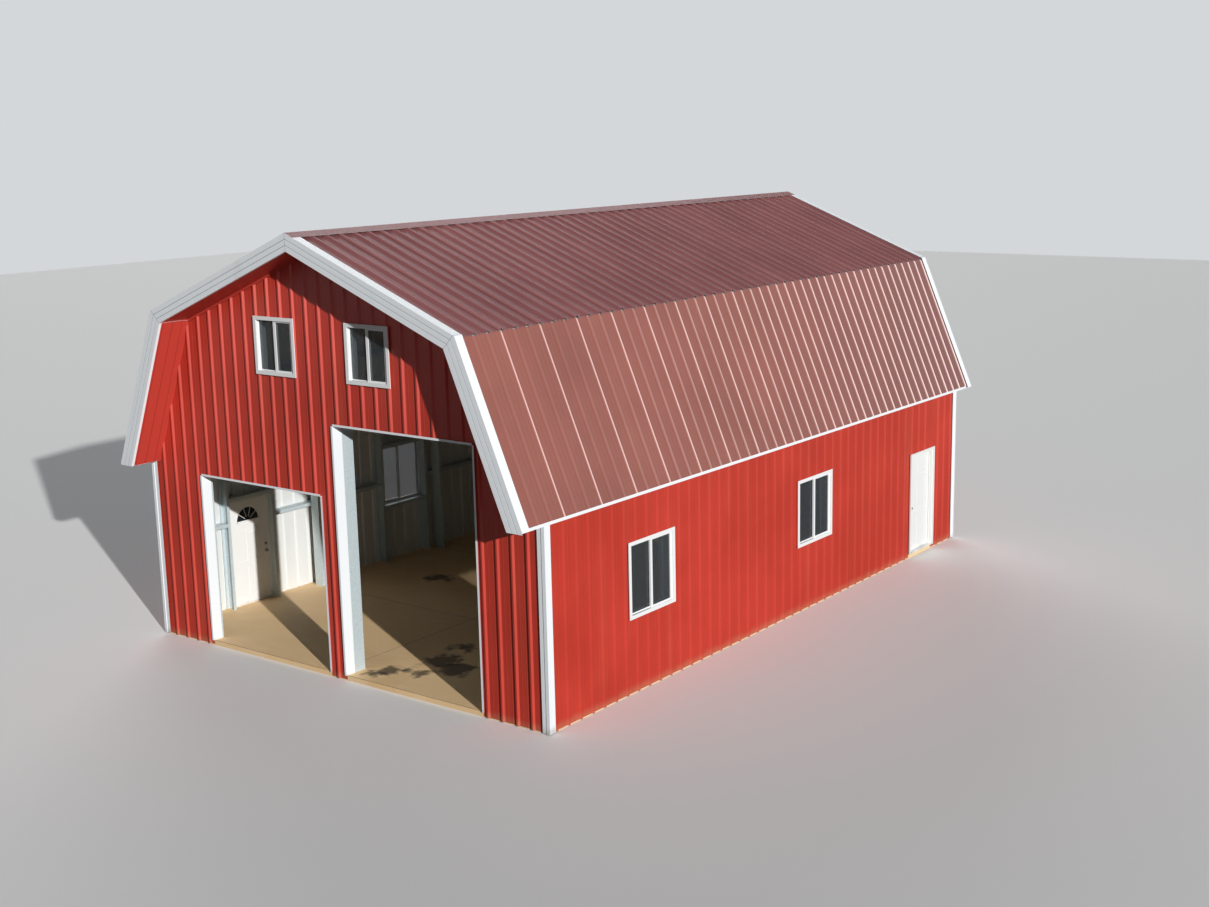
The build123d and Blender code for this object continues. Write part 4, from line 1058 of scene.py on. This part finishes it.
@dataclass
class TrimFittings:
    """Screws of the white trim, the angle under the upper soffit and a curled soffit end."""

    faces: tuple[Face, ...]
    out: float = 0.0348
    spacing: float = 0.6
    rake_flange: float = 7.56
    gable_corner: float = 4.5
    side_corner: float = 6.94
    corner_screws: Span = (0.3, 3.2)
    slope_margin: float = 0.1
    trim_washer: float = 0.006
    cap_washer: float = 0.0075
    cap_inset: float = 0.01
    angle_leg: float = 0.035
    angle_gauge: float = 0.0015
    soffit_joint: Span = (3.2906, 5.9097)
    soffit_peak: float = 7.2238
    soffit_gap: float = 0.002
    curl_size: Triple = (0.04, 0.56, 0.0015)
    curl_middle: float = -7.33
    curl_below: float = 0.006
    curl_drop: float = 0.02

    def screws(self, dressing: Dressing) -> None:
        """Screws the rake flanges, the corner trim and the ridge cap down."""
        places: list[Matrix] = []
        caps: list[Matrix] = []
        for face in self.faces:
            if face.side.roof:
                edge, rises = self.rake_flange, (self.slope_margin, face.head - self.slope_margin)
            else:
                edge, rises = self.gable_corner if face.gable else self.side_corner, self.corner_screws
            for rise in spaced(*rises, self.spacing):
                places += [face.place(end * edge, rise, self.out) for end in ENDS]
            if face.side.flat:
                caps += [face.place(rib, face.head - self.cap_inset, self.out) for rib in face.ribs()]
        settle(copied("trim_screws", screw(self.trim_washer), places), dressing.white)
        cap_paint = dressing.paint_of(Side.RIGHT_UPPER_SLOPE)
        settle(copied("ridge_cap_screws", screw(self.cap_washer), caps), cap_paint)

    def angle(self) -> bpy.types.Object:
        """Models a metre of the angle, one leg down the wall and one out under the soffit."""
        leg, gauge = self.angle_leg, self.angle_gauge
        unit = block("angle", (1.0, gauge, leg), (0.0, 0.0, -leg / 2))
        with shaping(unit):
            bpy.ops.mesh.bisect(plane_co=(0.0, 0.0, -gauge), plane_no=(0.0, 0.0, 1.0))
            pick(unit, lambda face: face.normal.y < -0.9 and face.calc_center_median().z > -gauge)
            bpy.ops.mesh.extrude_region_move(TRANSFORM_OT_translate={"value": (0.0, -leg, 0.0)})
        return unit

    def angle_place(self, end: float, half: float) -> Matrix:
        """Where the angle of one end and one half goes, stretched to the run of the upper soffit."""
        across, height = self.soffit_joint
        run = Vector((-half * across, 0.0, self.soffit_peak - height))
        ahead = run.normalized()
        middle = Vector((
            half * across / 2,
            end * (HALF_LENGTH + self.out + self.angle_gauge),
            (self.soffit_peak + height) / 2 - self.soffit_gap,
        ))
        lengthwise = ahead * (1.0 if half * end > 0 else -1.0)
        above = Vector((abs(ahead.z) * half, 0.0, abs(ahead.x)))
        turn = Matrix((lengthwise * run.length, Vector((0.0, -end, 0.0)), above)).transposed()
        return Matrix.Translation(middle) @ turn.to_4x4()

    def angles(self, dressing: Dressing) -> None:
        """Runs a red angle along the top of the gable walls, under the upper soffit."""
        places = [self.angle_place(end, half) for end in ENDS for half in ENDS]
        piece = copied("wall_top_angles", self.angle(), places)
        with shaping(piece):
            bpy.ops.mesh.normals_make_consistent(inside=False)
        settle(piece, dressing.soffit)

    def curl(self, dressing: Dressing) -> None:
        """Adds the curled white end of a soffit sheet at the left break of the front."""
        across, height = self.soffit_joint
        piece = block("soffit_curl", self.curl_size, (-across, self.curl_middle, height - self.curl_below))
        with shaping(piece):
            bpy.ops.mesh.subdivide(number_cuts=3)
            pick(piece, lambda face: face.normal.y < -0.9)
            bpy.ops.transform.resize(value=(0.3, 1.0, 1.0))
            pick(piece, lambda face: face.normal.y > 0.9)
            bpy.ops.transform.translate(value=(0.0, 0.0, -self.curl_drop))
        settle(piece, dressing.white)

    def build(self, dressing: Dressing) -> None:
        """Adds the fittings.

        Args:
            dressing: The finishes.
        """
        self.screws(dressing)
        self.angles(dressing)
        self.curl(dressing)


@dataclass(frozen=True)
class FrameJoint:
    """A gusset of the right half: where its members meet, and the way that each of the two runs."""

    across: float
    height: float
    runs: tuple[Span, Span]


KNEE = FrameJoint(4.2672, 3.4584, ((0.0, -1.0), (-STEEP[1], STEEP[0])))
BREAK = FrameJoint(3.2625, 5.8441, ((STEEP[1], -STEEP[0]), (-FLAT[1], FLAT[0])))
RIDGE = FrameJoint(0.0, 7.1469, ((FLAT[1], -FLAT[0]), (-FLAT[1], -FLAT[0])))


@dataclass
class FrameFittings:
    """Bolts through the gussets and clips that hold the columns to the slab."""

    joints: tuple[FrameJoint, ...] = (KNEE, BREAK, RIDGE)
    plates: tuple[float, ...] = (-6.7498, -3.5496, -0.0443, 3.4609, 6.6612)
    bolts_along: tuple[float, ...] = (0.17, 0.26, 0.35)
    bolt_beside: float = 0.055
    washer_radius: float = 0.018
    washer_thickness: float = 0.004
    washer_middle: float = 0.0015
    head_inset: float = 0.005
    head_rise: float = 0.01
    chamfer: float = 0.002
    plate_to_column: float = 0.0443
    column_to_clip: float = 0.042
    clip_leg: float = 0.09
    clip_gauge: float = 0.006
    anchor_beside: float = 0.022
    anchor_along: float = 0.055

    def bolt(self) -> bpy.types.Object:
        """Models a bolt with its washer."""
        bolt = disc(12, self.washer_radius, self.washer_thickness, self.washer_middle)
        with shaping(bolt):
            pick_top(bolt)
            bpy.ops.mesh.inset(thickness=self.head_inset)
            bpy.ops.mesh.extrude_region_move(TRANSFORM_OT_translate={"value": (0.0, 0.0, self.head_rise)})
            bpy.ops.mesh.inset(thickness=self.chamfer)
            bpy.ops.transform.translate(value=(0.0, 0.0, self.chamfer / 2))
        return bolt

    def clip(self) -> bpy.types.Object:
        """Models an angle clip, one leg on the slab and one against the column."""
        size = (self.clip_leg, self.clip_gauge, self.clip_leg)
        clip = block("clip", size, (0.0, self.clip_gauge / 2, self.clip_leg / 2))
        with shaping(clip):
            bpy.ops.mesh.bisect(plane_co=(0.0, 0.0, self.clip_gauge), plane_no=(0.0, 0.0, 1.0))
            pick(clip, lambda face: face.normal.y > 0.9 and face.calc_center_median().z < self.clip_gauge)
            bpy.ops.mesh.extrude_region_move(TRANSFORM_OT_translate={"value": (0.0, self.clip_leg, 0.0)})
        return clip

    def bolt_places(self, plate: float, joint: FrameJoint, half: float) -> list[Matrix]:
        """Where the bolts of a gusset go, in two rows along each of its members.

        Args:
            plate: Where the face of the gusset is along the barn.
            joint: The gusset.
            half: 1 on the right, -1 on the left.

        Returns:
            The bolts' places, pointing to the front.
        """
        turn = Matrix(((1, 0, 0), (0, 0, 1), (0, -1, 0))).transposed().to_4x4()
        places = []
        for across, up in joint.runs:
            line = Vector((half * across, 0.0, up))
            beside = Vector((line.z, 0.0, -line.x))
            for distance in self.bolts_along:
                for offset in (-self.bolt_beside, self.bolt_beside):
                    middle = Vector((half * joint.across, plate, joint.height))
                    places.append(Matrix.Translation(middle + distance * line + offset * beside) @ turn)
        return places

    def build(self, dressing: Dressing) -> None:
        """Adds the bolts and the clips.

        Args:
            dressing: The finishes.
        """
        bolts: list[Matrix] = []
        for plate in self.plates:
            for joint in self.joints:
                for half in (1.0, -1.0) if joint.across else (1.0,):
                    bolts += self.bolt_places(plate, joint, half)
        settle(copied("gusset_bolts", self.bolt(), bolts), dressing.zinc)
        setback = self.plate_to_column + self.column_to_clip
        feet = [(half * KNEE.across, plate + setback) for half in ENDS for plate in self.plates]
        clips = [Matrix.Translation((x, y, SLAB_TOP)) for x, y in feet]
        settle(copied("column_clips", self.clip(), clips), dressing.zinc)
        seat = SLAB_TOP + self.clip_gauge
        anchors = [
            Matrix.Translation((x + end * self.anchor_beside, y + self.anchor_along, seat))
            for x, y in feet for end in ENDS
        ]
        settle(copied("anchor_bolts", self.bolt(), anchors), dressing.zinc)


@dataclass
class FanLight:
    """Mouldings and bars of the half-round light in the left door, on both faces of the leaf."""

    middle_y: float = -5.0555
    base: float = 1.738
    radius: float = 0.268
    ring_width: float = 0.034
    hub_radius: float = 0.075
    bar_width: float = 0.014
    sill_height: float = 0.03
    sill_drop: float = 0.004
    moulding_edge: float = 0.003
    bar_edge: float = 0.002
    panes: int = 5
    ring_depths: tuple[Span, ...] = ((-4.5085, -4.483), (-4.541, -4.516))
    bar_depths: tuple[Span, ...] = ((-4.5085, -4.499), (-4.5255, -4.516))

    def half_ring(self, name: str, radius: float, width: float, depth: Span) -> bpy.types.Object:
        """Models a half ring that stands on the light's base.

        Args:
            name: The piece's name.
            radius: The radius of the ring's middle line.
            width: The ring's width.
            depth: Where it starts and ends across the leaf.

        Returns:
            The half ring.
        """
        bpy.ops.object.select_all(action="DESELECT")
        middle = (sum(depth) / 2, self.middle_y + radius, self.base)
        bpy.ops.mesh.primitive_plane_add(size=1.0, location=middle)
        bpy.context.object.scale = (depth[1] - depth[0], width, 1.0)
        bpy.ops.object.transform_apply(location=True, rotation=True, scale=True)
        ring = bpy.context.object
        ring.name = name
        with shaping(ring):
            bpy.ops.mesh.spin(
                steps=24, dupli=False, angle=math.pi, use_auto_merge=False,
                center=(middle[0], self.middle_y, self.base), axis=(1.0, 0.0, 0.0),
            )
            bpy.ops.mesh.select_all(action="SELECT")
            bpy.ops.mesh.remove_doubles(threshold=0.0001)
            bpy.ops.mesh.select_all(action="SELECT")
            bpy.ops.mesh.fill_holes(sides=4)
            bpy.ops.mesh.select_all(action="SELECT")
            bpy.ops.mesh.normals_make_consistent(inside=False)
        self.ease(ring, self.moulding_edge)
        return ring

    def ease(self, piece: bpy.types.Object, width: float) -> None:
        """Rounds the long edges of a piece."""
        modifier = piece.modifiers.new("eased", "BEVEL")
        modifier.width = width
        modifier.segments = 2
        modifier.limit_method = "ANGLE"
        bpy.context.view_layer.objects.active = piece
        bpy.ops.object.modifier_apply(modifier="eased")

    def sill(self, name: str, depth: Span) -> bpy.types.Object:
        """Models the moulding along the foot of the light."""
        middle = (sum(depth) / 2, self.middle_y, self.base - self.sill_drop)
        size = (depth[1] - depth[0], 2 * self.radius + self.ring_width, self.sill_height)
        sill = block(name, size, middle)
        self.ease(sill, self.moulding_edge)
        return sill

    def bars(self, name: str, depth: Span) -> bpy.types.Object:
        """Models the bars from the hub to the arch."""
        length = self.radius - self.hub_radius
        size = (depth[1] - depth[0], length, self.bar_width)
        bar = block("fan_light_bar", size, (0.0, self.hub_radius + length / 2, 0.0))
        self.ease(bar, self.bar_edge)
        centre = Matrix.Translation((sum(depth) / 2, self.middle_y, self.base))
        angles = [math.pi * number / self.panes for number in range(1, self.panes)]
        return copied(name, bar, [centre @ Matrix.Rotation(angle, 4, "X") for angle in angles])

    def build(self, dressing: Dressing) -> None:
        """Adds the mouldings and bars.

        Args:
            dressing: The finishes.
        """
        for face, ring_depth, bar_depth in zip(("inner", "outer"), self.ring_depths, self.bar_depths):
            for piece in (
                self.half_ring(f"fan_light_{face}_arch", self.radius, self.ring_width, ring_depth),
                self.half_ring(f"fan_light_{face}_hub", self.hub_radius, self.bar_width, bar_depth),
                self.sill(f"fan_light_{face}_sill", ring_depth),
                self.bars(f"fan_light_{face}_bars", bar_depth),
            ):
                settle(piece, dressing.door, "left_door")


@dataclass
class Studio:
    """Floor, light and camera."""

    floor_reach: float = 160.0
    floor_seen: Colour = (0.95, 0.94, 0.92)
    floor_lit: Colour = (0.16, 0.15, 0.14)
    sun_travel: Triple = (-1.0, 0.493, -0.345)
    sun_strength: float = 3.55
    sun_softness: float = 0.8
    fill_travel: Triple = (0.75, -0.7, -0.22)
    fill_strength: float = 1.5
    fill_softness: float = 40.0
    sky_light: Colour = (0.72, 0.86, 1.0)
    sky_strength: float = 0.08
    sky_seen: Colour = (0.66, 0.68, 0.7)
    camera_place: Triple = (19.17869, -24.43899, 9.01135)
    yaw: float = -0.63744
    pitch: float = -0.203094
    roll: float = -0.0183385
    lens: float = 47.0713
    shift: Span = (-0.02476, 0.00045)

    def floor(self) -> None:
        """Lays a plain pale floor under the barn."""
        bpy.ops.object.select_all(action="DESELECT")
        bpy.ops.mesh.primitive_plane_add(size=self.floor_reach, location=(0, 0, -0.001))
        ground = bpy.context.object
        ground.name = "studio_floor"
        surface = Surface("studio_floor_paint", self.floor_lit, 0.9)
        seen = surface.add("ShaderNodeLightPath", {}).outputs["Is Camera Ray"]
        surface.tint(seen, self.floor_seen)
        surface.relief(surface.noise(12.0), 0.001, 0.3)
        ground.data.materials.append(surface.material)

    def lamp(self, name: str, travel: Triple, strength: float, softness: float) -> None:
        """Adds a far lamp.

        Args:
            name: The lamp's name.
            travel: The way that its light goes.
            strength: Its strength.
            softness: How wide it looks, in degrees.
        """
        lamp = bpy.data.lights.new(name, "SUN")
        lamp.energy = strength
        lamp.angle = math.radians(softness)
        holder = bpy.data.objects.new(name, lamp)
        holder.rotation_mode = "QUATERNION"
        holder.rotation_quaternion = Vector(travel).to_track_quat("-Z", "Y")
        bpy.context.scene.collection.objects.link(holder)

    def sky(self) -> None:
        """Lights the barn from all round, and shows the camera, metal and glass a pale backdrop."""
        world = bpy.data.worlds.new("studio_sky")
        bpy.context.scene.world = world
        world.use_nodes = True
        tree = world.node_tree
        light = tree.nodes["Background"]
        light.inputs["Color"].default_value = (*self.sky_light, 1.0)
        light.inputs["Strength"].default_value = self.sky_strength
        seen = tree.nodes.new("ShaderNodeBackground")
        seen.inputs["Color"].default_value = (*self.sky_seen, 1.0)
        rays = tree.nodes.new("ShaderNodeLightPath")
        clear = rays.outputs["Is Camera Ray"]
        for name in ("Is Glossy Ray", "Is Transmission Ray"):
            either = tree.nodes.new("ShaderNodeMath")
            either.operation = "MAXIMUM"
            tree.links.new(clear, either.inputs[0])
            tree.links.new(rays.outputs[name], either.inputs[1])
            clear = either.outputs[0]
        mix = tree.nodes.new("ShaderNodeMixShader")
        tree.links.new(clear, mix.inputs[0])
        tree.links.new(light.outputs[0], mix.inputs[1])
        tree.links.new(seen.outputs[0], mix.inputs[2])
        tree.links.new(mix.outputs[0], tree.nodes["World Output"].inputs["Surface"])

    def camera(self) -> None:
        """Sets the camera at the photograph's viewing angle."""
        lens = bpy.data.cameras.new("camera")
        lens.lens = self.lens
        lens.sensor_width = 36.0
        lens.shift_x, lens.shift_y = self.shift
        lens.clip_end = 500.0
        camera = bpy.data.objects.new("camera", lens)
        level = Vector((math.sin(self.yaw), math.cos(self.yaw), 0.0))
        ahead = math.cos(self.pitch) * level + Vector((0.0, 0.0, math.sin(self.pitch)))
        right = Vector((level.y, -level.x, 0.0))
        above = right.cross(ahead)
        turn, rise = math.cos(self.roll), math.sin(self.roll)
        axes = Matrix((turn * right + rise * above, turn * above - rise * right, -ahead)).transposed()
        camera.matrix_world = Matrix.Translation(self.camera_place) @ axes.to_4x4()
        bpy.context.scene.collection.objects.link(camera)
        bpy.context.scene.camera = camera

    def build(self) -> None:
        """Makes the floor, a key light from the right, a soft one from behind, the sky and the camera."""
        self.floor()
        self.lamp("key_light", self.sun_travel, self.sun_strength, self.sun_softness)
        self.lamp("fill_light", self.fill_travel, self.fill_strength, self.fill_softness)
        self.sky()
        self.camera()
        bpy.context.scene.view_settings.view_transform = "Standard"


def main() -> None:
    """Dresses the barn, adds its fittings and sets the studio."""
    logging.basicConfig(level=logging.INFO, format="%(name)s: %(message)s")
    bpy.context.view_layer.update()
    bpy.ops.object.select_all(action="DESELECT")
    dressing = Dressing(SHEETS, FACES)
    dressing.build()
    SheetFittings(FACES).build(dressing)
    TrimFittings(FACES).build(dressing)
    FrameFittings().build(dressing)
    FanLight().build(dressing)
    Studio().build()


if __name__ == "__main__":
    main()
